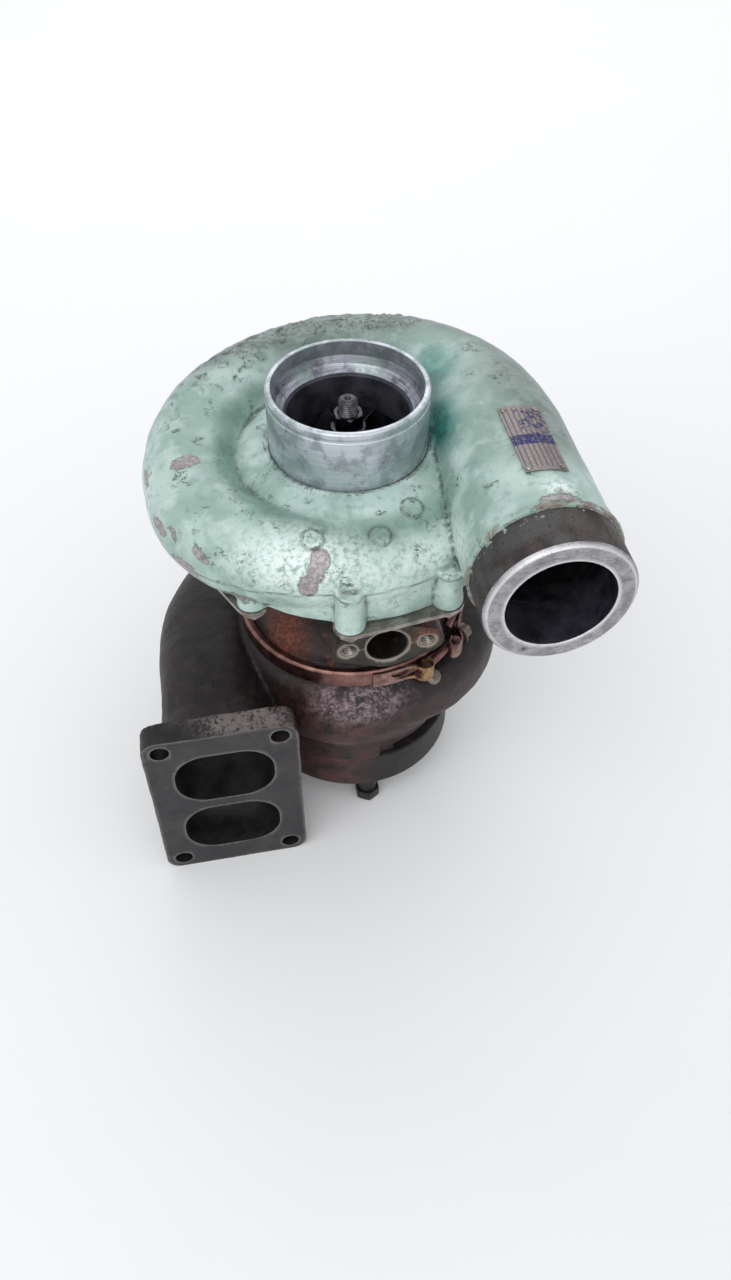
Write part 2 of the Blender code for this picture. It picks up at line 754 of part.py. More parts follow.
def bearing_housing():
    body = turned(
        "bearing_body",
        [
            (5, HOUSING_TOP),
            (HOUSING_TOP_RADIUS, HOUSING_TOP),
            (HOUSING_TOP_RADIUS, 229),
            (74, 226),
            (66, 220),
            (63, 206),
            (64, 190),
            (68, 176),
            (V_WAIST, 169),
            (V_WAIST, 164.5),
            (V_FLANGE, 160),
            (V_FLANGE, HOUSING_LOW),
            (5, HOUSING_LOW),
        ],
    )
    pad = hull_outline([(0, 0, 20.5), (-DRAIN_SPACING / 2, 0, 11.5), (DRAIN_SPACING / 2, 0, 11.5)])
    join(body, plate("drain_pad", pad, 14, facing_front(DRAIN_X, DRAIN_Y + 7, DRAIN_Z)))
    join(body, rod("drain_neck", 19.5, (DRAIN_X, DRAIN_Y + 10, DRAIN_Z), (DRAIN_X, -40, DRAIN_Z), 32, 25))
    inlet_pad = hull_outline([(-13, -13, 6), (13, -13, 6), (13, 13, 6), (-13, 13, 6)])
    join(body, plate("oil_inlet_pad", inlet_pad, 26, facing_front(0, OIL_INLET_Y - 13, DRAIN_Z + 5)))
    inside = [(0, HOUSING_TOP + 5), (INSERT_RADIUS, HOUSING_TOP + 5), (INSERT_RADIUS, 225)]
    inside += [(20, 225), (20, 220.8)]
    inside += land(JOURNAL_Z[0])[1:]
    inside += [(JOURNAL_BORE, 203), (22, 202), (22, 184), (JOURNAL_BORE, 183)]
    inside += land(JOURNAL_Z[1])[1:]
    inside += [(JOURNAL_BORE, 164.4), (13.25, 164), (13.25, HOUSING_LOW - 5), (0, HOUSING_LOW - 5)]
    cut(body, turned("bearing_bores", inside, STEPS_INSIDE))
    mouth, end = (DRAIN_X, DRAIN_Y - 5, DRAIN_Z), (DRAIN_X * 0.2, -8, DRAIN_Z)
    cut(body, rod("drain_bore", DRAIN_BORE, mouth, end, 32))
    for side in (-1, 1):
        x = DRAIN_X + side * DRAIN_SPACING / 2
        cut(body, rod("drain_thread", 4.9, (x, DRAIN_Y - 5, DRAIN_Z), (x, DRAIN_Y + 18, DRAIN_Z), 16))
        for height in (-1, 1):
            spot = (side * 12, OIL_INLET_Y + 5, DRAIN_Z + 5 + height * 12)
            cut(body, rod("oil_thread", 2.6, spot, (spot[0], OIL_INLET_Y - 12, spot[2]), 12))
    cut(body, rod("oil_inlet", 6, (0, OIL_INLET_Y + 5, DRAIN_Z + 5), (0, 30, DRAIN_Z + 5), 20))
    cut(body, rod("oil_gallery", 2.6, (0, 31, 172), (0, 31, 214), 12))
    for low in JOURNAL_Z:
        height = low + JOURNAL_LENGTH / 2
        cut(body, rod("oil_drilling", 1.7, (0, 31.5, height), (0, 8, height), 10))
    cut(body, rod("thrust_drain", 4, (0, -17, 190), (0, -17, 223), 12))
    piece(body, "bearing_housing", RUSTED, shaft_axis)


def heat_shield():
    profile = [(14, 152), (48, 152), (56, 155.2), (69.8, 155.2)]
    profile += [(69.8, 153.9), (56.5, 153.9), (48.5, 150.7), (14, 150.7)]
    piece(turned("shield", profile), "heat_shield", STEEL, shaft_axis)


def v_band():
    """The clamp's band is a channel over both flanges, open where a T-bolt draws it together."""
    opening = -43.5
    band = turned(
        "band",
        [
            (74, 164.6),
            (78, 164.6),
            (80, 163),
            (80, 151.2),
            (78, 149.6),
            (74, 149.6),
            (74, 151.3),
            (76.4, 153.6),
            (76.4, 160.4),
            (74, 162.7),
        ],
        36,
    )
    middle = around(78, opening, 157.1)
    across = around(1, opening + 90)
    outward = around(1, opening)
    gap = plate("band_gap", hull_outline([(-7, -30, 0.5), (7, -30, 0.5), (7, 30, 0.5), (-7, 30, 0.5)], 8), 30,
                Matrix.Translation(middle * MM) @ Matrix.Rotation(math.radians(opening + 90), 4, "Z"))
    cut(band, gap)
    for side in (-1, 1):
        foot = middle + across * (side * 17) - outward * 0.2
        eye = foot + outward * 8.5
        join(band, rod("lug", 7.2, eye - Vector((0, 0, 5.5)), eye + Vector((0, 0, 5.5)), 16))
        join(band, rod("lug_web", 5.0, foot - outward * 1.5, eye, 12))
    axis = middle + outward * 8.3
    ends = [axis + across * (side * 60) for side in (-1, 1)]
    cut(band, rod("bolt_way", 3.7, ends[0], ends[1], 16))
    piece(band, "v_band_clamp", BAND_STEEL, shaft_axis)
    nut_face, shank_end, head_face, head_end = (axis + across * step for step in (-25.5, -41, 25, 30.5))
    head = rod("t_head", 5.2, head_face, head_end, 16)
    bolt = join(head, rod("bolt_shank", 3.1, shank_end, head_face + across * 2, 16))
    piece(bolt, "v_band_bolt", STEEL, shaft_axis)
    nut = rod("band_nut", 6.6, nut_face - across * 9, nut_face, 6)
    cut(nut, rod("band_nut_thread", 3.35, nut_face - across * 15, nut_face + across * 8, 16))
    piece(nut, "v_band_nut", STEEL, shaft_axis)


# ---------------------------------------------------------------- turbine housing


def scroll_box(turn):
    """The turbine scroll at a turn from its left side: its outer radius, inner radius, underside and top."""
    share = turn / GAS_TURN
    outer = mix(GAS_OUTER, 83.0, share**1.65)
    inner = mix(66.0, 55.0, share)
    low = mix(GAS_LOW, 98.0, share)
    return outer, inner, low, mix(GAS_HIGH, GAS_HIGH - 4, share)


def rounded_ring(middle, outward, half_width, half_height, radius, per_corner=4):
    """A rectangle with round corners in the plane of outward and +Z."""
    radius = min(radius, half_width * 0.98, half_height * 0.98)
    points = []
    for corner, (side, rise) in enumerate(((1, 1), (-1, 1), (-1, -1), (1, -1))):
        for i in range(per_corner + 1):
            turn = math.radians(90 * (corner + i / per_corner))
            across = side * (half_width - radius) + radius * math.cos(turn)
            height = rise * (half_height - radius) + radius * math.sin(turn)
            points.append(middle + outward * across + Vector((0, 0, height)))
    return points


def duct_station(y):
    """The straight duct behind the inlet flange: its middle height, half width and half height outside."""
    share = smooth((y - PORT_Y - FLANGE_THICKNESS) / DUCT_LENGTH)
    wide = mix(PORT_SIZE[0] / 2 + TURBINE_WALL, GAS_OUTER + PORT_X + 0.5, share)
    tall = mix(PORT_SIZE[1] + PORT_DIVIDER / 2 + TURBINE_WALL, (GAS_HIGH - GAS_LOW) / 2, share)
    return mix(PORT_Z, (GAS_HIGH + GAS_LOW) / 2, share), wide, tall


def turbine_outer():
    rings = []
    flare = {PORT_Y + 8: (6.0, 6.0), PORT_Y + 22: (4.5, 4.5), PORT_Y + 40: (1.0, 1.0)}
    for y in (PORT_Y + 8, PORT_Y + 22, PORT_Y + 40, -48, -30, -8):
        height, wide, tall = duct_station(y)
        more = flare.get(y, (0.0, 0.0))
        middle = Vector((PORT_X, y, height))
        rings.append(rounded_ring(middle, Vector((-1, 0, 0)), wide + more[0], tall + more[1], 30))
    for i in range(14):
        turn = mix(8, GAS_TURN, i / 13)
        outer, inner, low, high = scroll_box(turn)
        angle = 180 - turn
        middle = around((outer + inner) / 2, angle, (low + high) / 2)
        half = (outer - inner) / 2, (high - low) / 2
        rings.append(rounded_ring(middle, around(1, angle), *half, 0.86 * min(half)))
    return loft("turbine_scroll", rings)


def turbine_passage(upper):
    """One of the two gas ways, from its port round to the wheel."""
    side = 1 if upper else -1
    rings = []
    for y in (PORT_Y - 5, PORT_Y + FLANGE_THICKNESS, -62, -45, -28, -8):
        height, wide, tall = duct_station(max(y, PORT_Y + FLANGE_THICKNESS))
        half_height = (tall - TURBINE_WALL - PORT_DIVIDER / 2) / 2
        middle = Vector((PORT_X, y, height + side * (PORT_DIVIDER / 2 + half_height)))
        rings.append(rounded_ring(middle, Vector((-1, 0, 0)), wide - TURBINE_WALL, half_height, 22, 3))
    for i in range(13):
        turn = mix(8, GAS_TURN, i / 13)
        outer, inner, low, high = scroll_box(turn)
        angle = 180 - turn
        divide = PORT_DIVIDER / 2
        wall = TURBINE_WALL + SCROLL_WALL_MORE
        half_height = ((high - low) / 2 - wall - divide) / 2
        middle = around((outer + inner) / 2, angle, (low + high) / 2 + side * (divide + half_height))
        half_width = (outer - inner) / 2 - wall + 1
        rings.append(rounded_ring(middle, around(1, angle), half_width, half_height, 0.9 * half_height, 3))
    return loft("gas_way", rings)


def turbine_housing():
    body = turned(
        "turbine_body",
        [
            (20, TURBINE_TOP),
            (V_FLANGE, TURBINE_TOP),
            (V_FLANGE, 154),
            (V_WAIST, 149.5),
            (V_WAIST, 147.5),
            (78, 144),
            (82, 139),
            (84, 130),
            (85, 112),
            (84.5, 100),
            (81, 88),
            (75, 79),
            (72, 73),
            (71, RING_TOP + 4.5),
            (66, RING_TOP + 3),
            (66, RING_TOP + GAP),
            (20, RING_TOP + GAP),
        ],
    )
    join(body, turbine_outer())
    width, height, corner = FLANGE_SIZE[0] / 2, FLANGE_SIZE[1] / 2, 11.0
    sides = [(x, z) for x in (-1, 1) for z in (-1, 1)]
    outline = hull_outline([(x * (width - corner), z * (height - corner), corner) for x, z in sides])
    placing = facing_front(PORT_X, PORT_Y + FLANGE_THICKNESS / 2, PORT_Z)
    join(body, plate("inlet_flange", outline, FLANGE_THICKNESS, placing))
    for i in range(4):
        spot = around(RING_BOLTS, -90 + 90 * i)
        foot, top = (Vector((spot.x, spot.y, z)) for z in (RING_TOP + GAP, 96))
        join(body, rod("ring_boss", 9.0, foot, top, 14))
    inside = turned(
        "turbine_inside",
        [
            (0, 170),
            (70.3, 170),
            (70.3, 152.6),
            (57.5, 152.6),
            (57.5, 148.2),
            (68, 147.4),
            (68, 104),
            (57.5, 104),
            (57.5, 132),
            (55, 133.4),
            (47, 133.4),
            (44, 126),
            (42, 118),
            (41.6, 108),
            (42.5, 100),
            (RING_BORE - 1, RING_TOP - 5),
            (0, RING_TOP - 5),
        ],
    )
    cut(body, inside, turbine_passage(True), turbine_passage(False))
    for side_x, side_z in sides:
        x, z = PORT_X + side_x * FLANGE_HOLES[0] / 2, PORT_Z + side_z * FLANGE_HOLES[1] / 2
        cut(body, rod("flange_hole", FLANGE_HOLE, (x, PORT_Y - 5, z), (x, PORT_Y + 26, z), 14))
    for i in range(4):
        spot = around(RING_BOLTS, -90 + 90 * i)
        cut(body, rod("ring_thread", 5.4, (spot.x, spot.y, 50), (spot.x, spot.y, 88), 12))
    piece(body, "turbine_housing", CAST_IRON, shaft_axis)


def outlet_ring_and_bolts():
    made = turned(
        "outlet_ring",
        [(RING_BORE, RING_TOP), (RING_RADIUS - 1.5, RING_TOP), (RING_RADIUS, RING_TOP - 1.5),
         (RING_RADIUS, RING_LOW + 1.5), (RING_RADIUS - 1.5, RING_LOW), (RING_BORE + 2, RING_LOW)],
        36,
    )
    spots = [around(RING_BOLTS, -90 + 90 * i) for i in range(4)]
    for spot in spots:
        cut(made, rod("ring_hole", 5.5, (spot.x, spot.y, 10), (spot.x, spot.y, 80), 12))
    piece(made, "outlet_flange_ring", CAST_IRON, shaft_axis)
    head = 11.0
    for i, spot in enumerate(spots):
        sleeve_top = RING_LOW - GAP
        sleeve = rod("sleeve", 7.3, (spot.x, spot.y, head + GAP), (spot.x, spot.y, sleeve_top), 14)
        cut(sleeve, rod("sleeve_bore", 5.5, (spot.x, spot.y, 5), (spot.x, spot.y, 35), 10))
        piece(sleeve, f"outlet_spacer_{i + 1}", STEEL, shaft_axis)
        bolt = rod("bolt_head", 17 / math.sqrt(3), (spot.x, spot.y, 1.6), (spot.x, spot.y, head), 6)
        join(bolt, rod("bolt_end", 7.2, (spot.x, spot.y, 0), (spot.x, spot.y, 3), 12, 8.6))
        join(bolt, rod("bolt_shank", 5.0, (spot.x, spot.y, head - 3), (spot.x, spot.y, 84), 10))
        piece(bolt, f"outlet_bolt_{i + 1}", STEEL, shaft_axis)


# ---------------------------------------------------------------- build

clear_scene()
pieces = collection("turbocharger")
cutters = collection("cutters")
shaft_axis = empty("shaft_axis", (AXIS_X, AXIS_Y, 0))
rotor_axis = empty("rotor_axis", (AXIS_X, AXIS_Y, 0))
ends = ("compressor", "turbine")
journal_axes = {name: empty(f"journal_axis_{name}", (AXIS_X, AXIS_Y, 0)) for name in ends}

compressor_housing()
inlet_tube()
data_plate()
clamp_plates_and_bolts()
backplate_and_o_ring()
compressor_wheel()
rotor_shaft_and_nut()
thrust_collar_and_flinger()
bearings_and_seals()
bearing_housing()
heat_shield()
v_band()
turbine_housing()
turbine_wheel()
outlet_ring_and_bolts()
piece(seal_ring("seal", 243.35), "compressor_seal_ring", STEEL, shaft_axis)
piece(seal_ring("seal", 159.15), "turbine_seal_ring", STEEL, shaft_axis)
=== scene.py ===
"""Looks of the turbocharger: castings, machined faces, clamp, wheels and finishes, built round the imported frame.

Shapes are drawn in millimetres about the shaft's axis, with z above the surface that the turbocharger stands
on, and go to metres in the row frame when a mesh is made. Angles are in degrees. The scrolls run clockwise
seen from the compressor's inlet.
"""

import itertools
import json
import math

import bmesh
import bpy
import numpy as np
from mathutils import Matrix, Vector
from mathutils.geometry import convex_hull_2d


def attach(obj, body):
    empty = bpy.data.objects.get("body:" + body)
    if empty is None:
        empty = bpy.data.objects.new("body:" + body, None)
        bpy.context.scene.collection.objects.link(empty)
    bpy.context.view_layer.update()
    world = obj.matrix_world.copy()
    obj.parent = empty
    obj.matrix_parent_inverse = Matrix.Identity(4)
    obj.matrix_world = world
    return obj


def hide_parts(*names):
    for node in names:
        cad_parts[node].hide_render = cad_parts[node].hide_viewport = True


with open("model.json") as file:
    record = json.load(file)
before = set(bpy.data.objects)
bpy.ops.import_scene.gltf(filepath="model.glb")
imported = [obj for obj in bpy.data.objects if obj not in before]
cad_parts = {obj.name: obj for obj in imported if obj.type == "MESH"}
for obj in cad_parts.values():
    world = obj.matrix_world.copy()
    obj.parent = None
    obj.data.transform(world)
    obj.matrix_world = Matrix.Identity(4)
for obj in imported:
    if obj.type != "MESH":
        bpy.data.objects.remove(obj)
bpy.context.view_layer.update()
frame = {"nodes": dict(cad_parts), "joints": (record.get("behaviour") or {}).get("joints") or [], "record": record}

MM = 0.001
SPIN = next(joint for joint in frame["joints"] if joint["name"] == "rotor_spin")
AXIS = np.array([SPIN["pos_m"][0], SPIN["pos_m"][1], 0.0])

# Compressor housing
INLET_TOP = 339.0
INLET_RADIUS = 50.0
INLET_BORE = 46.4
INLET_BASE = 298.3
INLET_STEP = 319.0
TUBE_FOOT = 294.5
INDUCER_BORE = 37.8
INDUCER_EDGE = 299.0
COVER_BOTTOM = 238.5
COVER_RIM = 100.5
DIFFUSER_HIGH = 261.0
DIFFUSER_END = 82.0
EXDUCER = 50.0
COMPRESSOR_BLADES = 7
SCROLL_START = -75.0
SCROLL_TURN = 285.0
SCROLL_SMALL = 24.0
SCROLL_LARGE = 45.3
SCROLL_LOW = 237.0
SCROLL_WALL = 7.0
SCROLL_FLOOR = 253.0
SCROLL_OUTER = 101.0
SCROLL_STEP = 24.0
SCROLL_BACK = 5.5
OUTLET_X = 94.0
OUTLET_Z = SCROLL_LOW + SCROLL_LARGE
OUTLET_Y = -148.0
OUTLET_BAND = 30.0
OUTLET_BORE = 32.6
PLATE_SEAT = 45.9
PIPE_BEAD = 1.4
BOLT_COUNT = 10
BOLT_CIRCLE = 102.0
BOLT_FIRST = -100.0
BOSS_RADIUS = 10.5
BOSS_TOP = 266.0
BACKPLATE_RADIUS = 94.0
BACKPLATE_STEP = 246.0
CAST_PADS = ((-35.4, -79.1, 291.0), (4.6, -79.6, 286.8), (27.0, -64.4, 292.3))

# Bearing group
HOUSING_TOP = 238.2
HOUSING_LOW = 157.1
HOUSING_TOP_RADIUS = 82.0
INSERT_RADIUS = 24.0
DRAIN_X, DRAIN_Y, DRAIN_Z = 10.0, -83.0, 193.4
DRAIN_BORE = 13.4
DRAIN_SPACING = 52.0
OIL_INLET_Y = 78.0
V_FLANGE = 76.0
V_WAIST = 71.5
BAND_OPENING = -43.5

# Turbine
TURBINE_TOP = 156.8
TURBINE_TIP = 46.0
TURBINE_BLADES = 11
PORT_X, PORT_Y, PORT_Z = -106.0, -103.0, 76.0
PORT_SIZE = (68.0, 50.0)
PORT_DIVIDER = 10.0
FLANGE_SIZE = (104.0, 152.0)
FLANGE_HOLES = (79.8, 130.4)
FLANGE_HOLE = 6.4
FLANGE_THICKNESS = 18.0
TURBINE_WALL = 7.0
DUCT_LENGTH = 55.0
GAS_TURN = 262.0
SCROLL_WALL_MORE = 3.0
GAS_OUTER = 143.0
GAS_LOW, GAS_HIGH = 62.5, 147.0
RING_TOP, RING_LOW = 60.0, 28.0
RING_RADIUS = 75.3
RING_BORE = 55.0
RING_BOLTS = 64.0


# ---------------------------------------------------------------- meshes


def around(radius, angle, z=0.0):
    return np.array([radius * math.cos(math.radians(angle)), radius * math.sin(math.radians(angle)), z])


def mix(a, b, share):
    return a + (b - a) * share


def smooth(value):
    value = np.clip(value, 0.0, 1.0)
    return value * value * (3 - 2 * value)


def shape(name, points, faces):
    """A mesh object from points in millimetres, its faces turned outwards."""
    mesh = bpy.data.meshes.new(name)
    mesh.from_pydata((np.asarray(points) * MM + AXIS).tolist(), [], faces)
    bm = bmesh.new()
    bm.from_mesh(mesh)
    bmesh.ops.recalc_face_normals(bm, faces=bm.faces)
    bm.to_mesh(mesh)
    bm.free()
    made = bpy.data.objects.new(name, mesh)
    bpy.context.scene.collection.objects.link(made)
    return made


def loft(name, rings, looped=False):
    """A closed body through matching rings of points; looped joins the last ring to the first."""
    rings = np.asarray(rings, float)
    rows, count = rings.shape[:2]
    faces = []
    for i in range(rows if looped else rows - 1):
        low, high = i * count, (i + 1) % rows * count
        for j in range(count):
            k = (j + 1) % count
            faces.append((low + j, low + k, high + k, high + j))
    if not looped:
        faces.append(tuple(range(count))[::-1])
        faces.append(tuple(range((rows - 1) * count, rows * count)))
    return shape(name, rings.reshape(-1, 3), faces)


def rounded(profile, radius, closed, steps=4):
    """The profile with each corner made an arc of about that radius."""
    points = [np.array(p, float) for p in profile]
    made = []
    for i, corner in enumerate(points):
        if not closed and i in (0, len(points) - 1):
            made.append(corner)
            continue
        before, after = points[i - 1], points[(i + 1) % len(points)]
        back, on = before - corner, after - corner
        reach = min(radius, 0.45 * np.linalg.norm(back), 0.45 * np.linalg.norm(on))
        start = corner + back / np.linalg.norm(back) * reach
        end = corner + on / np.linalg.norm(on) * reach
        for step in range(steps + 1):
            share = step / steps
            made.append(mix(mix(start, corner, share), mix(corner, end, share), share))
    return made


def turned(name, profile, steps=120, round_by=0.0):
    """A turned shape from (radius, z) points down its outer side. One that starts on the axis is solid."""
    solid = profile[0][0] == 0
    if round_by:
        profile = rounded(profile, round_by, closed=not solid)
    rings = [ring_at(radius, z, steps) for radius, z in profile if radius > 0]
    return loft(name, rings, looped=not solid)


def ring_at(radius, z, steps):
    turn = np.arange(steps) * math.tau / steps
    radius = np.broadcast_to(radius, turn.shape)
    return np.stack([radius * np.cos(turn), radius * np.sin(turn), np.full(steps, z)], 1)


def rod(name, radius, start, end, sides=32, end_radius=None):
    """A cylinder or cone from one point to another."""
    start, end = np.array(start, float), np.array(end, float)
    along = Vector(end - start).normalized()
    side = np.array(along.orthogonal().normalized())
    across = np.cross(along, side)
    turn = np.arange(sides)[:, None] * math.tau / sides
    circle = side * np.cos(turn) + across * np.sin(turn)
    last = radius if end_radius is None else end_radius
    return loft(name, [start + circle * radius, end + circle * last])


def settle(made):
    """Gives the object the mesh that its modifiers make, and drops the modifiers."""
    mesh = bpy.data.meshes.new_from_object(made.evaluated_get(bpy.context.evaluated_depsgraph_get()))
    made.modifiers.clear()
    made.data = mesh
    return made


def together(name, parts):
    """One object that holds the meshes of several, which are removed."""
    bm = bmesh.new()
    for part in parts:
        bm.from_mesh(part.data)
        bpy.data.objects.remove(part)
    mesh = bpy.data.meshes.new(name)
    bm.to_mesh(mesh)
    bm.free()
    made = bpy.data.objects.new(name, mesh)
    bpy.context.scene.collection.objects.link(made)
    return made


def boolean(body, tools, operation):
    """Joins the tools to the body, or cuts them from it, and removes them."""
    for tool in tools:
        step = body.modifiers.new(tool.name, "BOOLEAN")
        step.operation = operation
        step.solver = "MANIFOLD"
        step.object = tool
    settle(body)
    for tool in tools:
        bpy.data.objects.remove(tool)
    return body


def cast(name, parts, voxel, rounds):
    """Melts overlapping shapes into one skin, with the soft inner and outer corners of a casting."""
    body = together(name, parts)
    melt = body.modifiers.new("melt", "REMESH")
    melt.mode = "VOXEL"
    melt.voxel_size = voxel * MM
    ease = body.modifiers.new("ease", "SMOOTH")
    ease.factor = 0.5
    ease.iterations = rounds
    return settle(body)


def places(made):
    """The mesh's points about the shaft's axis, in millimetres."""
    found = np.empty(len(made.data.vertices) * 3)
    made.data.vertices.foreach_get("co", found)
    return (found.reshape(-1, 3) - AXIS) / MM


def normals(made):
    found = np.empty(len(made.data.vertices) * 3)
    made.data.vertex_normals.foreach_get("vector", found)
    return found.reshape(-1, 3)


def push(made, distance):
    """Moves each point along its normal by its distance in millimetres."""
    moved = places(made) + normals(made) * distance[:, None]
    made.data.vertices.foreach_set("co", (moved * MM + AXIS).ravel())
    made.data.update()


def lumps(points, size, seed):
    """Smooth random values from -1 to 1, in lumps of about that size."""
    table = np.random.default_rng(seed).uniform(-1, 1, 4096)
    cell = np.floor(points / size).astype(np.int64)
    share = smooth(points / size - cell)
    total = np.zeros(len(points))
    for corner in itertools.product((0, 1), repeat=3):
        key = (cell + corner) @ np.array([73856093, 19349663, 83492791])
        total += table[key % 4096] * np.prod(np.where(corner, share, 1 - share), axis=1)
    return total


def finer(made, size, within=None):
    """Splits the faces' long sides until they are about that size in millimetres, where within(spot) holds."""
    bm = bmesh.new()
    bm.from_mesh(made.data)
    for _ in range(8):
        long = [edge for edge in bm.edges if edge.calc_length() > size * 1.5 * MM]
        if within:
            long = [edge for edge in long if all(within((np.array(v.co) - AXIS) / MM) for v in edge.verts)]
        if not long:
            break
        bmesh.ops.triangulate(bm, faces=list({face for edge in long for face in edge.link_faces}))
        long = [edge for edge in bm.edges if edge.calc_length() > size * 1.5 * MM]
        if within:
            long = [edge for edge in long if all(within((np.array(v.co) - AXIS) / MM) for v in edge.verts)]
        bmesh.ops.subdivide_edges(bm, edges=long, cuts=1)
    bm.to_mesh(made.data)
    bm.free()
    return made


def field(made, name, values):
    """Keeps one number for each point, which the material reads."""
    layer = made.data.attributes.new(name, "FLOAT", "POINT")
    layer.data.foreach_set("value", np.asarray(values, np.float32))


def spread(made, values, rounds):
    """The values, averaged over neighbouring points that many times."""
    edges = np.empty(len(made.data.edges) * 2, np.int32)
    made.data.edges.foreach_get("vertices", edges)
    first, second = edges[::2], edges[1::2]
    count = np.bincount(edges, minlength=len(values)).astype(float)
    values = np.asarray(values, float)
    for _ in range(rounds):
        if values.ndim == 1:
            near = (
                np.bincount(first, values[second], len(values))
                + np.bincount(second, values[first], len(values))
            )
            values = (values + near) / (1 + count)
        else:
            values = np.stack([spread(made, values[:, i], 1) for i in range(values.shape[1])], 1)
    return values


def bulge(made, rounds):
    """How far each point stands out of its surroundings, in millimetres: edges are above 0, hollows below."""
    points = places(made)
    return ((points - spread(made, points, rounds)) * normals(made)).sum(1)


def paint_faces(made, finishes, choose):
    """Gives the mesh its materials, and each face the one that choose(centres, normals) numbers."""
    mesh = made.data
    mesh.materials.clear()
    for finish in finishes:
        mesh.materials.append(finish)
    if choose:
        centres, facing = np.empty(len(mesh.polygons) * 3), np.empty(len(mesh.polygons) * 3)
        mesh.polygons.foreach_get("center", centres)
        mesh.polygons.foreach_get("normal", facing)
        numbers = choose((centres.reshape(-1, 3) - AXIS) / MM, facing.reshape(-1, 3))
        mesh.polygons.foreach_set("material_index", np.asarray(numbers, np.int32))


def sharpen_borders(mesh):
    """Makes the edges between two finishes sharp, so that a machined face stays flat up to its border."""
    bm = bmesh.new()
    bm.from_mesh(mesh)
    for edge in bm.edges:
        if len({face.material_index for face in edge.link_faces}) > 1:
            edge.smooth = False
    bm.to_mesh(mesh)
    bm.free()


def done(made, body, finishes, nodes=(), choose=None, sharp=32):
    """Finishes a piece: smooth up to its edges, in its materials, riding on its body."""
    made.data.shade_smooth()
    made.data.set_sharp_from_angle(angle=math.radians(sharp))
    paint_faces(made, finishes, choose)
    if choose:
        sharpen_borders(made.data)
    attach(made, body)
    if nodes:
        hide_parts(*nodes)
    return made


# ---------------------------------------------------------------- finishes


def tint(code):
    """A colour from its usual six hexadecimal digits."""
    values = [int(code[i : i + 2], 16) / 255 for i in (0, 2, 4)]
    return (*[v / 12.92 if v <= 0.04045 else ((v + 0.055) / 1.055) ** 2.4 for v in values], 1.0)


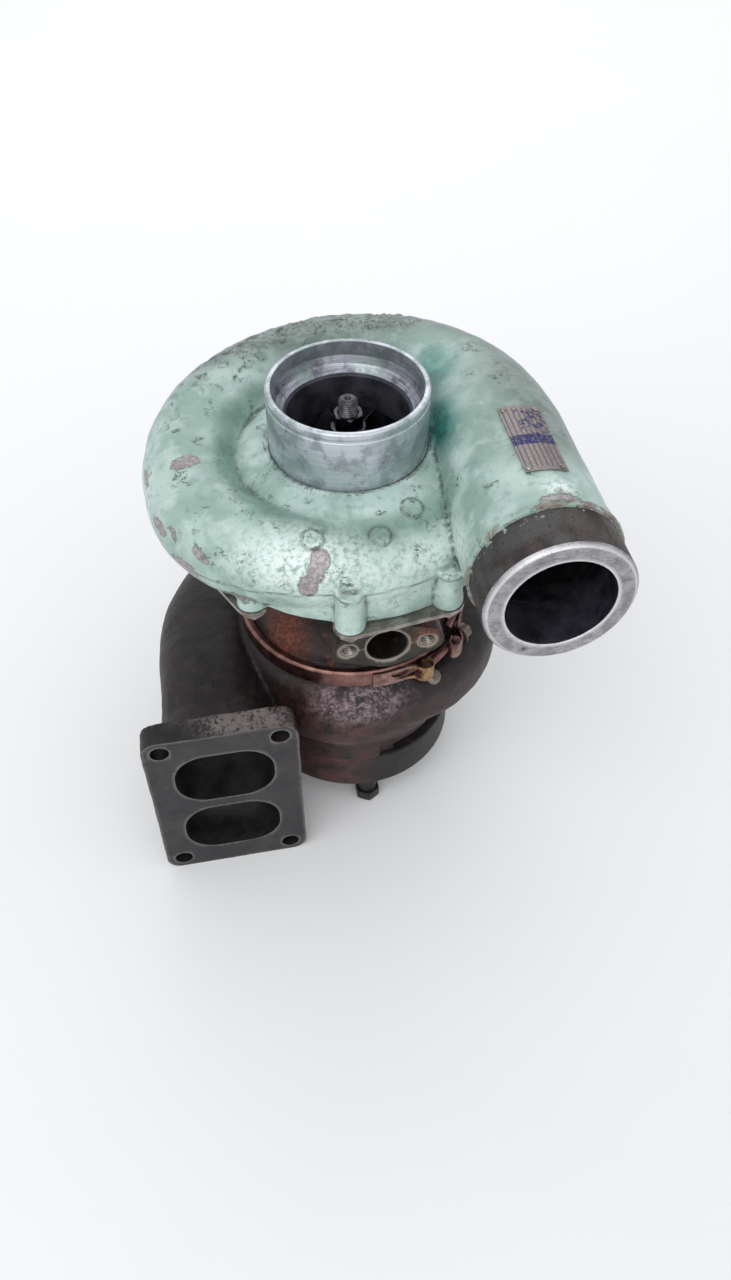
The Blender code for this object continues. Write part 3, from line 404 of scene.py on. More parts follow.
class Finish:
    """Builds one material from nodes. Patterns are sized in millimetres."""

    def __init__(self, name, roughness=0.5, metallic=0.0):
        self.material = bpy.data.materials.new(name)
        self.material.use_nodes = True
        self.tree = self.material.node_tree
        self.shader = self.tree.nodes["Principled BSDF"]
        self.shader.inputs["Roughness"].default_value = roughness
        self.shader.inputs["Metallic"].default_value = metallic
        place = self.tree.nodes.new("ShaderNodeTexCoord").outputs["Object"]
        self.place = self.vector("SCALE", place, scale=1 / MM)

    def feed(self, socket, value):
        if isinstance(value, bpy.types.NodeSocket):
            self.tree.links.new(value, socket)
        else:
            socket.default_value = value

    def vector(self, operation, a, b=None, scale=None):
        node = self.tree.nodes.new("ShaderNodeVectorMath")
        node.operation = operation
        self.feed(node.inputs[0], a)
        if b is not None:
            self.feed(node.inputs[1], b)
        if scale is not None:
            node.inputs["Scale"].default_value = scale
        return node.outputs[0]

    def maths(self, operation, a, b=0.0, c=0.0, clamp=False):
        node = self.tree.nodes.new("ShaderNodeMath")
        node.operation = operation
        node.use_clamp = clamp
        for socket, value in zip(node.inputs, (a, b, c)):
            self.feed(socket, value)
        return node.outputs[0]

    def noise(self, size, detail=2.0, rough=0.5, stretch=(1, 1, 1), shift=0.0, warp=0.0):
        """Cloudy values about 0.5, in lumps of about that size, longer where stretch is above 1."""
        node = self.tree.nodes.new("ShaderNodeTexNoise")
        scaled = tuple(1 / s for s in stretch)
        place = self.vector("MULTIPLY", self.place, scaled) if stretch != (1, 1, 1) else self.place
        if shift:
            place = self.vector("ADD", place, (shift, shift * 1.7, shift * 2.3))
        self.feed(node.inputs["Vector"], place)
        node.inputs["Scale"].default_value = 1 / size
        node.inputs["Detail"].default_value = detail
        node.inputs["Roughness"].default_value = rough
        node.inputs["Distortion"].default_value = warp
        return node.outputs[0]

    def add(self, one, two):
        return self.maths("ADD", one, two)

    def less(self, one, two):
        return self.maths("SUBTRACT", one, two)

    def times(self, one, two):
        return self.maths("MULTIPLY", one, two)

    def most(self, one, two):
        return self.maths("MAXIMUM", one, two)

    def ramp(self, value, low, high):
        """0 at low and 1 at high, smooth between them."""
        node = self.tree.nodes.new("ShaderNodeMapRange")
        node.interpolation_type = "SMOOTHSTEP"
        for name, given in (("Value", value), ("From Min", low), ("From Max", high)):
            self.feed(node.inputs[name], given)
        return node.outputs["Result"]

    def field(self, name):
        node = self.tree.nodes.new("ShaderNodeAttribute")
        node.attribute_name = name
        return node.outputs["Fac"]

    def mix(self, share, a, b):
        node = self.tree.nodes.new("ShaderNodeMix")
        node.data_type = "RGBA"
        self.feed(node.inputs[0], share)
        self.feed(node.inputs[6], tint(a) if isinstance(a, str) else a)
        self.feed(node.inputs[7], tint(b) if isinstance(b, str) else b)
        return node.outputs[2]

    def blend(self, share, a, b):
        """The number a where share is 0 and b where it is 1."""
        node = self.tree.nodes.new("ShaderNodeMix")
        for place, value in ((0, share), (2, a), (3, b)):
            self.feed(node.inputs[place], value)
        return node.outputs[0]

    def line(self, value, middle, width):
        """1 where the value is within width of middle: a thin line along a noise's contour."""
        off = self.maths("ABSOLUTE", self.less(value, middle))
        return self.ramp(off, width, width * 0.4)

    def bump(self, height):
        """Height is in millimetres."""
        node = self.tree.nodes.new("ShaderNodeBump")
        node.inputs["Distance"].default_value = MM
        self.feed(node.inputs["Height"], height)
        self.feed(self.shader.inputs["Normal"], node.outputs[0])

    def finish(self, colour, roughness=None, metallic=None, height=None):
        self.feed(self.shader.inputs["Base Color"], colour)
        if roughness is not None:
            self.feed(self.shader.inputs["Roughness"], roughness)
        if metallic is not None:
            self.feed(self.shader.inputs["Metallic"], metallic)
        if height is not None:
            self.bump(height)
        return self.material


def mint_paint():
    """Old pale green paint on aluminium: greyer and deeper in places, cracked, chipped to the metal; with painted
    shade in the valley round the inlet and beside the inlet tube.
    """
    f = Finish("mint_paint")
    cloud, patchy = f.noise(48, 3, 0.55), f.noise(15, 4, 0.6, shift=31)
    fine, grain = f.noise(3.2, 4, 0.62, shift=7), f.noise(1.0, 3, 0.6)
    colour = f.mix(f.ramp(cloud, 0.38, 0.62), "AEC4BC", "86A197")
    colour = f.mix(f.times(f.ramp(patchy, 0.5, 0.66), 0.45), colour, "C4D4CE")
    colour = f.mix(f.times(f.ramp(f.noise(8, 5, 0.65, shift=77), 0.52, 0.68), 0.5), colour, "769288")
    # Greyer and darker towards the back and towards the outlet's side.
    colour = f.mix(f.field("greyer_back_and_side"), colour, f.mix(f.ramp(patchy, 0.4, 0.6), "5F6F68", "7F8E88"))
    # Painted shade: the valley round the inlet is made a deeper green, where shade falls in it.
    colour = f.mix(f.field("valley_shade"), colour, f.mix(f.ramp(patchy, 0.4, 0.6), "4A6B5F", "5F8475"))
    # Painted shade: a dark teal shadow beside the inlet tube, where the scroll rises close to it.
    colour = f.mix(f.field("teal_shade"), colour, f.mix(f.ramp(patchy, 0.4, 0.62), "1F6C66", "4B9184"))
    colour = f.mix(f.times(f.field("pale"), f.ramp(fine, 0.34, 0.56)), colour, "E2ECE8")
    grit = f.times(f.ramp(grain, 0.55, 0.72), f.ramp(patchy, 0.35, 0.6))
    colour = f.mix(f.times(grit, f.add(f.times(f.field("pale"), 0.5), 0.12)), colour, "4A5A52")
    # Cracks and scrapes are dark contours of a noise, only in some places
    spread_out = f.add(f.noise(20, 3, 0.6, shift=90), f.times(f.field("worn"), 0.2))
    zone = f.ramp(spread_out, 0.6, 0.68)
    cracks = f.times(f.line(f.noise(7, 5, 0.7, shift=12, warp=0.6), 0.5, 0.022), zone)
    scraped = f.ramp(f.noise(16, 2, 0.5, shift=4), 0.62, 0.7)
    scrapes = f.times(f.line(f.noise(5, 4, 0.7, (3, 1, 1), 55, 0.4), 0.47, 0.03), scraped)
    marks = f.most(cracks, scrapes)
    colour = f.mix(f.times(marks, 0.85), colour, "35443C")
    # The field is in millimetres inside a bare patch, and noise makes the patch's border ragged
    inside = f.add(f.field("bare"), f.times(f.less(fine, 0.5), 5.0))
    some = f.ramp(f.noise(40, 2, 0.5, shift=5), 0.42, 0.6)
    flecks = f.times(f.ramp(f.noise(4.5, 5, 0.75, shift=66), 0.65, 0.665), some)
    bare = f.most(f.ramp(inside, -0.12, 0.12), flecks)
    colour = f.mix(f.times(f.ramp(inside, -0.9, -0.1), 0.75), colour, "3E4C44")
    metal = f.mix(f.ramp(f.noise(2.2, 4, 0.7, shift=3), 0.42, 0.6), "8D8788", "ADA6A7")
    metal = f.mix(f.ramp(f.noise(1.0, 2, 0.7, shift=9), 0.6, 0.7), metal, "5F5857")
    colour = f.mix(bare, colour, metal)
    dirt = f.times(f.field("hollow"), f.ramp(fine, 0.28, 0.55))
    colour = f.mix(f.times(dirt, 0.85), colour, "2C352F")
    colour = f.mix(f.field("rust"), colour, f.mix(f.ramp(fine, 0.4, 0.6), "6E5347", "8A7466"))
    rough = f.blend(bare, f.blend(marks, f.ramp(patchy, -0.2, 1.3), 0.7), 0.5)
    height = f.add(f.times(fine, 0.55), f.times(grain, 0.12))
    height = f.add(height, f.times(patchy, 0.7))
    height = f.less(height, f.times(bare, 0.25))
    height = f.less(height, f.times(marks, 0.2))
    f.shader.inputs["Coat Weight"].default_value = 0.2
    f.shader.inputs["Coat Roughness"].default_value = 0.3
    return f.finish(colour, rough, f.times(bare, 0.55), height)


def turned_aluminium(name, light="CDD2D8", dark="8B8F96", stain=1.0):
    """Aluminium turned in a lathe: fine rings round the shaft, grey stains and dark specks."""
    f = Finish(name, metallic=0.75)
    rings = f.noise(0.5, 3, 0.7, (60, 60, 1))
    cloud, fine = f.noise(13, 5, 0.65, shift=21), f.noise(2.4, 5, 0.7, shift=2)
    colour = f.mix(f.ramp(rings, 0.3, 0.7), light, "B4B9C2")
    colour = f.mix(f.times(f.ramp(cloud, 0.46, 0.62), 0.75 * stain), colour, dark)
    colour = f.mix(f.times(f.ramp(f.noise(22, 3, 0.6, shift=44), 0.5, 0.62), 0.5 * stain), colour, "8FA39A")
    zone = f.ramp(f.noise(17, 3, 0.6, shift=70), 0.5, 0.6)
    specks = f.times(f.ramp(fine, 0.6, 0.66), zone)
    colour = f.mix(f.times(specks, 0.85 * stain), colour, "4B5052")
    rough = f.add(f.times(cloud, 0.35), f.times(specks, 0.3))
    height = f.add(f.times(rings, 0.03), f.times(fine, 0.05))
    return f.finish(colour, f.add(rough, 0.2), None, height)


def bare_band():
    """The hose seat of the outlet: turned once, now brownish grey with oil and heat."""
    f = Finish("outlet_seat", metallic=0.75)
    cloud, fine = f.noise(14, 4, 0.6, (1, 3, 1), 3), f.noise(2.0, 4, 0.7, shift=8)
    colour = f.mix(f.ramp(cloud, 0.38, 0.62), "413A39", "574F4D")
    colour = f.mix(f.times(f.ramp(f.noise(30, 2, 0.5, shift=40), 0.45, 0.6), 0.6), colour, "5B5E5C")
    colour = f.mix(f.ramp(fine, 0.58, 0.72), colour, "2E2827")
    chipped = f.times(f.ramp(f.noise(5, 4, 0.7, shift=91), 0.6, 0.64), f.field("near_paint"))
    colour = f.mix(chipped, colour, "A7B3AD")
    height = f.add(f.times(fine, 0.12), f.times(f.noise(0.5, 2, 0.6, (60, 1, 60)), 0.03))
    return f.finish(colour, f.ramp(fine, -0.6, 1.2), None, height)


def scratched_face():
    """A machined end face: grey, with a painted highlight along its edges, scratched, with a pit or two."""
    f = Finish("scratched_face", metallic=0.85)
    cloud, fine = f.noise(9, 5, 0.65, shift=5), f.noise(1.6, 5, 0.72, shift=6)
    colour = f.mix(f.ramp(cloud, 0.36, 0.64), "8B888B", "AFACAE")
    colour = f.mix(f.ramp(fine, 0.54, 0.68), colour, "6D6A6C")
    lines = f.line(f.noise(6, 2, 0.4, (5, 1, 1), 2), 0.5, 0.008)
    colour = f.mix(f.times(lines, 0.6), colour, "5A5758")
    # Painted highlight: pale speckled lines along the inner and outer edges of the face.
    colour = f.mix(f.times(f.field("edge"), f.ramp(fine, 0.25, 0.5)), colour, "DADADC")
    colour = f.mix(f.field("pit"), colour, "3A3838")
    height = f.less(f.times(fine, 0.08), f.times(lines, 0.05))
    return f.finish(colour, f.add(f.times(cloud, 0.4), 0.2), None, height)


def dark_bore(name, light="3E3F48", dark="24252D"):
    """The oily inside of an air passage; in the inlet's bore its darkness is painted shade."""
    f = Finish(name, metallic=0.5)
    cloud, fine = f.noise(18, 4, 0.6), f.noise(2.5, 4, 0.65, shift=6)
    colour = f.mix(f.ramp(cloud, 0.35, 0.65), dark, light)
    colour = f.mix(f.ramp(fine, 0.6, 0.75), colour, "17171B")
    return f.finish(colour, f.ramp(cloud, -0.5, 1.4), None, f.times(fine, 0.25))


def hot_iron():
    """The turbine's casting: nearly black with brown and dull red heat stains, pinkish where it is scaled, with a
    painted pinkish sheen on the shoulder; its base colours are darkened further as painted shade.
    """
    f = Finish("hot_iron", metallic=0.35)
    cloud, mid = f.noise(42, 4, 0.6), f.noise(11, 4, 0.65, shift=14)
    fine, grain = f.noise(2.6, 5, 0.7, shift=3), f.noise(0.9, 3, 0.7)
    # Painted shade: the base colour is darker than the iron, standing in for the shade on the duct's side.
    colour = f.mix(f.ramp(cloud, 0.36, 0.64), "171314", "242020")
    colour = f.mix(f.times(f.ramp(mid, 0.5, 0.68), 0.5), colour, "3D302D")
    colour = f.mix(f.times(f.field("red"), f.ramp(mid, 0.3, 0.62)), colour, "543634")
    # The scale field is partly real heat scale and, on the shoulder, a painted pinkish sheen.
    colour = f.mix(f.times(f.field("scale"), f.ramp(mid, 0.3, 0.75)), colour, "5C4A4E")
    scale = f.times(f.field("scale"), f.ramp(f.add(fine, mid), 0.86, 1.2))
    colour = f.mix(scale, colour, f.mix(f.ramp(fine, 0.42, 0.6), "6E5C62", "8E7F85"))
    white = f.times(f.field("scale"), f.ramp(f.noise(1.5, 3, 0.7, shift=50), 0.65, 0.7))
    colour = f.mix(white, colour, "C4B9BB")
    ash = f.times(f.field("ash"), f.ramp(f.add(fine, f.noise(7, 4, 0.7, (1, 3, 1), 15)), 0.86, 1.08))
    colour = f.mix(f.times(ash, 0.7), colour, "867E7B")
    colour = f.mix(
        f.times(f.ramp(f.add(f.field("worn"), f.times(fine, 0.6)), 0.7, 0.92), 0.7), colour, "7A7170"
    )
    colour = f.mix(f.times(f.field("hollow"), 0.7), colour, "1F1A1A")
    height = f.add(f.times(fine, 0.5), f.times(grain, 0.22))
    height = f.add(height, f.times(mid, 0.6))
    return f.finish(colour, f.add(f.times(mid, 0.35), 0.34), None, height)


def flange_face():
    """The machined face of the turbine inlet flange, dark with soot, brighter along its edges."""
    f = Finish("flange_face", metallic=0.8)
    cloud, fine = f.noise(32, 4, 0.6), f.noise(3, 4, 0.65, shift=4)
    colour = f.mix(f.ramp(cloud, 0.35, 0.65), "403E41", "4E4B4B")
    colour = f.mix(f.times(f.ramp(f.noise(14, 3, 0.6, shift=33), 0.5, 0.66), 0.5), colour, "3A3636")
    colour = f.mix(f.ramp(fine, 0.62, 0.72), colour, "5E5958")
    colour = f.mix(f.field("worn"), colour, "8B8786")
    lines = f.noise(0.7, 2, 0.6, (1, 1, 40))
    height = f.add(f.times(fine, 0.1), f.times(lines, 0.03))
    return f.finish(colour, f.add(f.times(cloud, 0.3), 0.34), None, height)


def rusty_iron():
    """The bearing housing: dark oily iron, in places red-brown with rust."""
    f = Finish("rusty_iron", metallic=0.3)
    cloud, mid = f.noise(24, 4, 0.6), f.noise(8, 5, 0.65, shift=14)
    fine, grain = f.noise(2.4, 5, 0.7, shift=3), f.noise(0.8, 3, 0.7)
    colour = f.mix(f.ramp(cloud, 0.4, 0.6), "201A1A", "312726")
    rust = f.most(f.field("rust"), f.times(f.ramp(mid, 0.54, 0.64), 0.6))
    rust = f.times(rust, f.ramp(f.add(fine, mid), 0.72, 1.0))
    colour = f.mix(rust, colour, f.mix(f.ramp(fine, 0.4, 0.62), "522A20", "7D4735"))
    colour = f.mix(f.times(f.ramp(fine, 0.62, 0.7), 0.5), colour, "6B5145")
    height = f.add(f.times(fine, 0.5), f.times(grain, 0.2))
    height = f.add(height, f.times(mid, 0.8))
    return f.finish(colour, f.blend(rust, 0.42, 0.75), None, height)


def pad_face():
    """The machined oil drain face: grey-olive, rust orange towards one end."""
    f = Finish("pad_face", metallic=0.6)
    cloud, fine = f.noise(9, 4, 0.6), f.noise(1.8, 4, 0.7, shift=4)
    colour = f.mix(f.ramp(cloud, 0.38, 0.62), "2E2A26", "3D3933")
    colour = f.mix(f.ramp(fine, 0.56, 0.68), colour, "39332B")
    orange = f.times(f.field("rust"), f.ramp(f.add(fine, cloud), 0.75, 1.05))
    colour = f.mix(orange, colour, f.mix(f.ramp(fine, 0.42, 0.6), "6B3728", "8E5A44"))
    colour = f.mix(f.field("worn"), colour, "A9A192")
    return f.finish(colour, f.add(f.times(cloud, 0.35), 0.32), None, f.times(fine, 0.14))


def steel(name, light, dark, spot, roughness=0.22, metallic=1.0, size=9.0):
    """Rolled or turned steel with a light stain."""
    f = Finish(name, metallic=metallic)
    cloud, fine = f.noise(size, 4, 0.62, shift=11), f.noise(1.4, 4, 0.7, shift=5)
    colour = f.mix(f.ramp(cloud, 0.36, 0.64), dark, light)
    colour = f.mix(f.times(f.ramp(fine, 0.56, 0.7), 0.8), colour, spot)
    rough = f.add(f.times(cloud, 0.3), roughness)
    height = f.add(f.times(fine, 0.1), f.times(f.noise(0.4, 2, 0.6), 0.02))
    return f.finish(colour, rough, None, height)


def black_rubber():
    f = Finish("black_rubber", roughness=0.7)
    fine = f.noise(1.2, 3, 0.6)
    colour = f.mix(f.ramp(fine, 0.4, 0.7), "151515", "262524")
    return f.finish(colour, f.ramp(fine, -0.8, 0.9), None, f.times(fine, 0.06))


def plate_metal():
    """The data plate: stained aluminium with ruled columns and one blue field, and nothing to read."""
    f = Finish("plate_metal", metallic=0.8)
    split = f.tree.nodes.new("ShaderNodeSeparateXYZ")
    f.feed(split.inputs[0], f.place)
    along = f.less(split.outputs[1], AXIS[1] / MM)
    across = f.less(split.outputs[0], AXIS[0] / MM)
    fine = f.noise(1.3, 4, 0.7)
    colour = f.mix(f.ramp(fine, 0.4, 0.65), "7C7373", "988F8E")
    wave = f.maths("SINE", f.times(across, math.tau / 3.1))
    inner = f.times(f.ramp(along, -84.5, -83.5), f.ramp(along, -28.0, -29.0))
    rules = f.times(f.times(f.ramp(wave, 0.55, 0.9), inner), f.ramp(fine, 0.25, 0.5))
    colour = f.mix(f.times(rules, 0.75), colour, "4A4242")
    box = f.times(f.ramp(along, -63.5, -63.0), f.ramp(along, -54.0, -54.5))
    column = f.times(
        f.ramp(along, -63.5, -63.0), f.times(f.ramp(along, -30.0, -31.0), f.ramp(across, 93.5, 94.5))
    )
    broken = f.most(box, f.times(column, f.ramp(f.noise(3.4, 3, 0.6, shift=9), 0.5, 0.56)))
    colour = f.mix(f.times(broken, f.ramp(fine, 0.36, 0.54)), colour, "23295C")
    height = f.add(f.times(fine, 0.06), f.times(rules, -0.08))
    return f.finish(colour, f.add(f.times(fine, 0.3), 0.25), None, height)


# ---------------------------------------------------------------- compressor housing


def scroll_size(turn):
    """The scroll's section at a turn from its start: the radius of its circle, and the circle's middle."""
    share = max(turn, 0.0) / SCROLL_TURN
    radius = math.sqrt(mix(SCROLL_SMALL**2, SCROLL_LARGE**2, share))
    outer = mix(SCROLL_OUTER, OUTLET_X + SCROLL_LARGE - SCROLL_STEP, share)
    outer += SCROLL_STEP * smooth((turn - 25) / 70)
    outer += SCROLL_BACK * smooth((turn - 95) / 60) * smooth((SCROLL_TURN - turn) / 60)
    return radius, outer - radius


def circle_ring(middle, outward, radius, floor, count=48):
    """A circle in the plane of outward and +Z, with its underside cut off level at the floor."""
    turn = np.arange(count)[:, None] * math.tau / count
    ring = middle + outward * (radius * np.cos(turn)) + np.array([0, 0, 1.0]) * (radius * np.sin(turn))
    ring[:, 2] = np.maximum(ring[:, 2], floor)
    return ring


def scroll_rings(wall, floor, first_turn, last_turn, count):
    rings = []
    for i in range(count + 1):
        turn = mix(first_turn, last_turn, i / count)
        radius, middle = scroll_size(turn)
        angle = SCROLL_START - turn
        centre = around(middle, angle, SCROLL_LOW + radius)
        rings.append(circle_ring(centre, around(1, angle), radius - wall, floor))
    return rings


def pipe_ring(y, radius, floor=0.0):
    return circle_ring(np.array([OUTLET_X, y, OUTLET_Z]), np.array([1.0, 0, 0]), radius, floor)


def shroud(share, clearance):
    """The wheel's outer line from the leading edge down and out to the rim, with a clearance to it."""
    bend = math.radians(90 * share)
    radius = mix(INDUCER_BORE - 0.7, EXDUCER - 0.4, (1 - math.cos(bend)) ** 1.2)
    height = mix(INDUCER_EDGE, DIFFUSER_HIGH - 0.7, math.sin(bend))
    return radius + clearance, height + clearance * share


def bolt_spots(count=BOLT_COUNT, circle=BOLT_CIRCLE, first=BOLT_FIRST):
    return [around(circle, first + 360 / count * i) for i in range(count)]


def pipe_turned(name, profile, steps=96, round_by=0.3):
    """A shape turned about the outlet pipe's axis, from (radius, y) points."""
    rings = []
    for radius, y in rounded(profile, round_by, closed=True) if round_by else profile:
        rings.append(
            circle_ring(np.array([OUTLET_X, y, OUTLET_Z]), np.array([1.0, 0, 0]), radius, 0.0, steps)
        )
    return loft(name, rings, looped=True)


def near(points, spot, reach):
    """1 at the spot, falling to 0 at its reach; reach may differ along x, y and z."""
    away = np.linalg.norm((points - np.array(spot)) / np.array(reach), axis=1)
    return smooth(1 - away)


def compressor_casting(paint, bore_metal):
    band_start = OUTLET_Y + OUTLET_BAND
    rings = scroll_rings(0.0, 0.0, 0.0, SCROLL_TURN, 130)
    rings += [pipe_ring(y, PLATE_SEAT) for y in np.linspace(-6, -96, 16)]
    rings += [
        pipe_ring(band_start + 7, SCROLL_LARGE + PIPE_BEAD),
        pipe_ring(band_start, SCROLL_LARGE + PIPE_BEAD + 0.4),
    ]
    cover = [
        (0, INLET_BASE - 0.6),
        (INLET_RADIUS + 4, INLET_BASE - 0.6),
        (64, INLET_BASE - 3.5),
        (78, 289),
        (86, 275),
        (COVER_RIM, 262),
        (COVER_RIM, COVER_BOTTOM - 4),
        (0, COVER_BOTTOM - 4),
    ]
    parts = [loft("scroll", rings), loft("tongue", scroll_rings(0.2, 0.0, -32.0, 8.0, 14))]
    parts.append(turned("cover", rounded(cover, 6.0, closed=False), 180))
    for spot in bolt_spots():
        low, high = spot + (0, 0, COVER_BOTTOM - 3), spot + (0, 0, BOSS_TOP)
        parts.append(rod("boss", BOSS_RADIUS - 0.8, low, high, 40, BOSS_RADIUS - 2.6))
    made = cast("compressor_casting", parts, 1.4, 2)
    points = places(made)
    radius, angle = np.hypot(points[:, 0], points[:, 1]), np.degrees(np.arctan2(points[:, 1], points[:, 0]))
    height = points[:, 2]
    relief = 0.28 * lumps(points, 16, 1) + 0.14 * lumps(points, 5, 2) + 0.05 * lumps(points, 2.6, 3)
    blister = np.clip(lumps(points, 5.5, 4) + 0.4 * lumps(points, 2.8, 5) - 0.18, 0, 1)
    back_rim = (
        smooth((height - 300) / 8) * smooth((angle - 48) / 12)
        * smooth((138 - angle) / 22) * smooth((radius - 88) / 8)
    )
    relief += 1.5 * blister * back_rim
    for spot in CAST_PADS:
        away = np.linalg.norm(points - np.array(spot), axis=1)
        relief += 0.9 * smooth((6.6 - away) / 1.0) + 0.35 * smooth(1 - abs(away - 6.0) / 1.3)
    base = smooth(1 - abs(np.hypot(points[:, 0], points[:, 1]) - INLET_RADIUS - 2.6) / 2.2) * (height > 290)
    relief += 1.3 * base * smooth((lumps(points, 8, 8) + 0.5) / 0.8)
    bead = (
        smooth(1 - abs(points[:, 1] - band_start - 3.2) / 2.6)
        * (np.hypot(points[:, 0] - OUTLET_X, height - OUTLET_Z) > 44)
    )
    relief += 0.9 * bead * smooth((lumps(points, 9, 9) + 0.6) / 0.9)
    chipped_top = smooth((height - 296) / 8) * smooth((angle - 60) / 20) * smooth((radius - 84) / 8)
    relief -= 0.9 * chipped_top * smooth((lumps(points, 7, 10) - 0.15) / 0.15)
    push(made, relief)

    cutters = [rod("trim", 150, (0, 0, COVER_BOTTOM - 60), (0, 0, COVER_BOTTOM), 64)]
    cutters.append(
        turned(
            "bore",
            [
                (0, INLET_TOP + 5),
                (INLET_RADIUS + 0.25, INLET_TOP + 5),
                (INLET_RADIUS + 0.25, TUBE_FOOT - 0.3),
                (INDUCER_BORE + 0.2, TUBE_FOOT - 0.3),
                *[shroud(i / 16, 0.7) for i in range(4, 17)],
                (DIFFUSER_END, DIFFUSER_HIGH),
                (DIFFUSER_END, BACKPLATE_STEP),
                (BACKPLATE_RADIUS, BACKPLATE_STEP),
                (BACKPLATE_RADIUS, COVER_BOTTOM - 5),
                (0, COVER_BOTTOM - 5),
            ],
        )
    )
    passage = scroll_rings(SCROLL_WALL, SCROLL_FLOOR, 6.0, SCROLL_TURN, 100)
    passage += [pipe_ring(-50, SCROLL_LARGE - SCROLL_WALL - 1, SCROLL_FLOOR - 4)]
    passage += [pipe_ring(-90, OUTLET_BORE + 1), pipe_ring(OUTLET_Y - 5, OUTLET_BORE)]
    cutters.append(loft("passage", passage))
    cutters.append(
        loft("socket", [pipe_ring(band_start + y, SCROLL_LARGE + 0.05) for y in (-6, 5.5)])
    )
    for spot in bolt_spots():
        cutters.append(
            rod("hole", 4.5, spot + (0, 0, COVER_BOTTOM - 5), spot + (0, 0, COVER_BOTTOM + 11), 24)
        )
    boolean(made, cutters, "DIFFERENCE")

    points = places(made)
    radius, angle = np.hypot(points[:, 0], points[:, 1]), np.degrees(np.arctan2(points[:, 1], points[:, 0]))
    height = points[:, 2]
    stand = bulge(made, 4)
    # Painted shade in the valley between the inlet tube's foot and the scroll.
    valley = smooth(1.15 - abs(radius - 77) / 12) * smooth((height - 280) / 8) * smooth((310 - height) / 10)
    field(made, "valley_shade", 0.95 * valley * (0.75 + 0.25 * lumps(points, 30, 21)))
    # Painted shade: a dark teal shadow in the gap on the right of the inlet tube.
    teal_shade = near(points, (58, -6, 306), (19, 38, 24)) + 0.6 * near(points, (66, 40, 312), (28, 32, 22))
    field(made, "teal_shade", np.clip(1.35 * teal_shade, 0, 1))
    # Greyer and darker towards the back, towards the outlet's side, and on the top at the back.
    greyer_back_and_side = (
        smooth((points[:, 0] - 60) / 60) * smooth((points[:, 1] + 95) / 60)
        + 0.5 * smooth((points[:, 1] - 60) / 50)
    )
    greyer_back_and_side += 0.55 * smooth((height - 288) / 14) * smooth((points[:, 1] - 55) / 40)
    field(made, "greyer_back_and_side", np.clip(1.25 * greyer_back_and_side, 0, 1))
    pale = near(points, (101, -102, 327), (16, 14, 14)) + 0.8 * near(points, (40, -95, 285), (34, 22, 30))
    pale += (
        0.75 * near(points, (-50, -85, 285), (60, 30, 30))
        + 0.5 * near(points, (-10, -95, 270), (90, 30, 36))
    )
    field(made, "pale", np.clip(pale, 0, 1))
    # Bare patches, by how many millimetres a point lies inside their border
    bare = np.full(len(points), -6.0)
    for spot, reach, size in (
        ((-102.5, -9, 302), (8.5, 5.0, 9), 5.5),
        ((-32.5, -89.5, 284), (5.5, 7.0, 6), 5.5),
        ((-36, -92.5, 278), (5.0, 6.0, 6), 5.0),
        ((-41, -95, 270), (5.5, 5.5, 7), 5.0),
        ((-121, -32, 277), (4, 13, 4), 3.5),
        ((-125, 2, 284), (4, 9, 3.5), 3.0),
        ((-112, -60, 262), (7, 16, 6), 4.0),
        ((-86, -86, 250), (14, 14, 6), 3.5),
        ((-60, -99, 246), (10, 6, 4), 3.0),
        ((98, -112, 327), (10, 4, 4), 2.5),
    ):
        away = np.linalg.norm((points - np.array(spot)) / np.array(reach), axis=1)
        bare = np.maximum(bare, (1 - away) * size)
    edge = smooth((stand - 0.12) / 0.25)
    bare = np.maximum(bare, -4.5 + 5.2 * edge * smooth((lumps(points, 13, 31) + 0.25) / 0.7))
    rim_chips = smooth(1 - abs(radius - 122) / 9) * smooth((angle + 195) / 10) * smooth((-128 - angle) / 12)
    bare = np.maximum(bare, -4.5 + 5.6 * rim_chips * smooth((lumps(points, 9, 32) + 0.1) / 0.6))
    field(made, "bare", bare)
    field(made, "worn", np.clip(edge + back_rim_field(radius, angle), 0, 1))
    crease = smooth(1 - abs(height - 263.2 - 1.4 * lumps(points, 12, 71)) / 1.1) * smooth((radius - 96) / 3)
    crease *= smooth((angle + 158) / 12) * smooth((-46 - angle) / 12)
    lip = smooth(1 - abs(radius - INLET_RADIUS - 0.9) / 0.9) * smooth((lumps(points, 7, 72) + 0.75) / 0.5)
    pads = [
        smooth(1 - abs(np.linalg.norm(points - np.array(spot), axis=1) - 6.7) / 0.9) for spot in CAST_PADS
    ]
    hollow = smooth((-stand - 0.1) / 0.3)
    field(made, "hollow", np.clip(hollow + crease + lip + 0.75 * np.sum(pads, axis=0), 0, 1))
    seam = (
        smooth((band_start + 6 - points[:, 1]) / 5)
        * smooth((np.hypot(points[:, 0] - OUTLET_X, height - OUTLET_Z) - 45) / 1.0)
    )
    field(made, "rust", 0.8 * seam * smooth((lumps(points, 6, 41) + 0.5) / 0.8))

    def machined(centres, facing):
        away = np.hypot(centres[:, 0], centres[:, 1])
        inner = (away < 81.9) & (centres[:, 2] < DIFFUSER_HIGH + 0.2) | (away < INLET_RADIUS + 0.4)
        level = (
            (centres[:, 2] < COVER_BOTTOM + 0.05)
            | (centres[:, 2] < BACKPLATE_STEP + 0.1) & (away < BACKPLATE_RADIUS + 0.1)
        )
        return inner | level | in_passage(centres, facing)

    return done(made, "housings", [paint, bore_metal], ["compressor_housing"], machined)


def back_rim_field(radius, angle):
    """Where the paint has lifted: along the top of the scroll at the back."""
    return smooth((angle - 48) / 12) * smooth((138 - angle) / 22) * smooth((radius - 88) / 8)


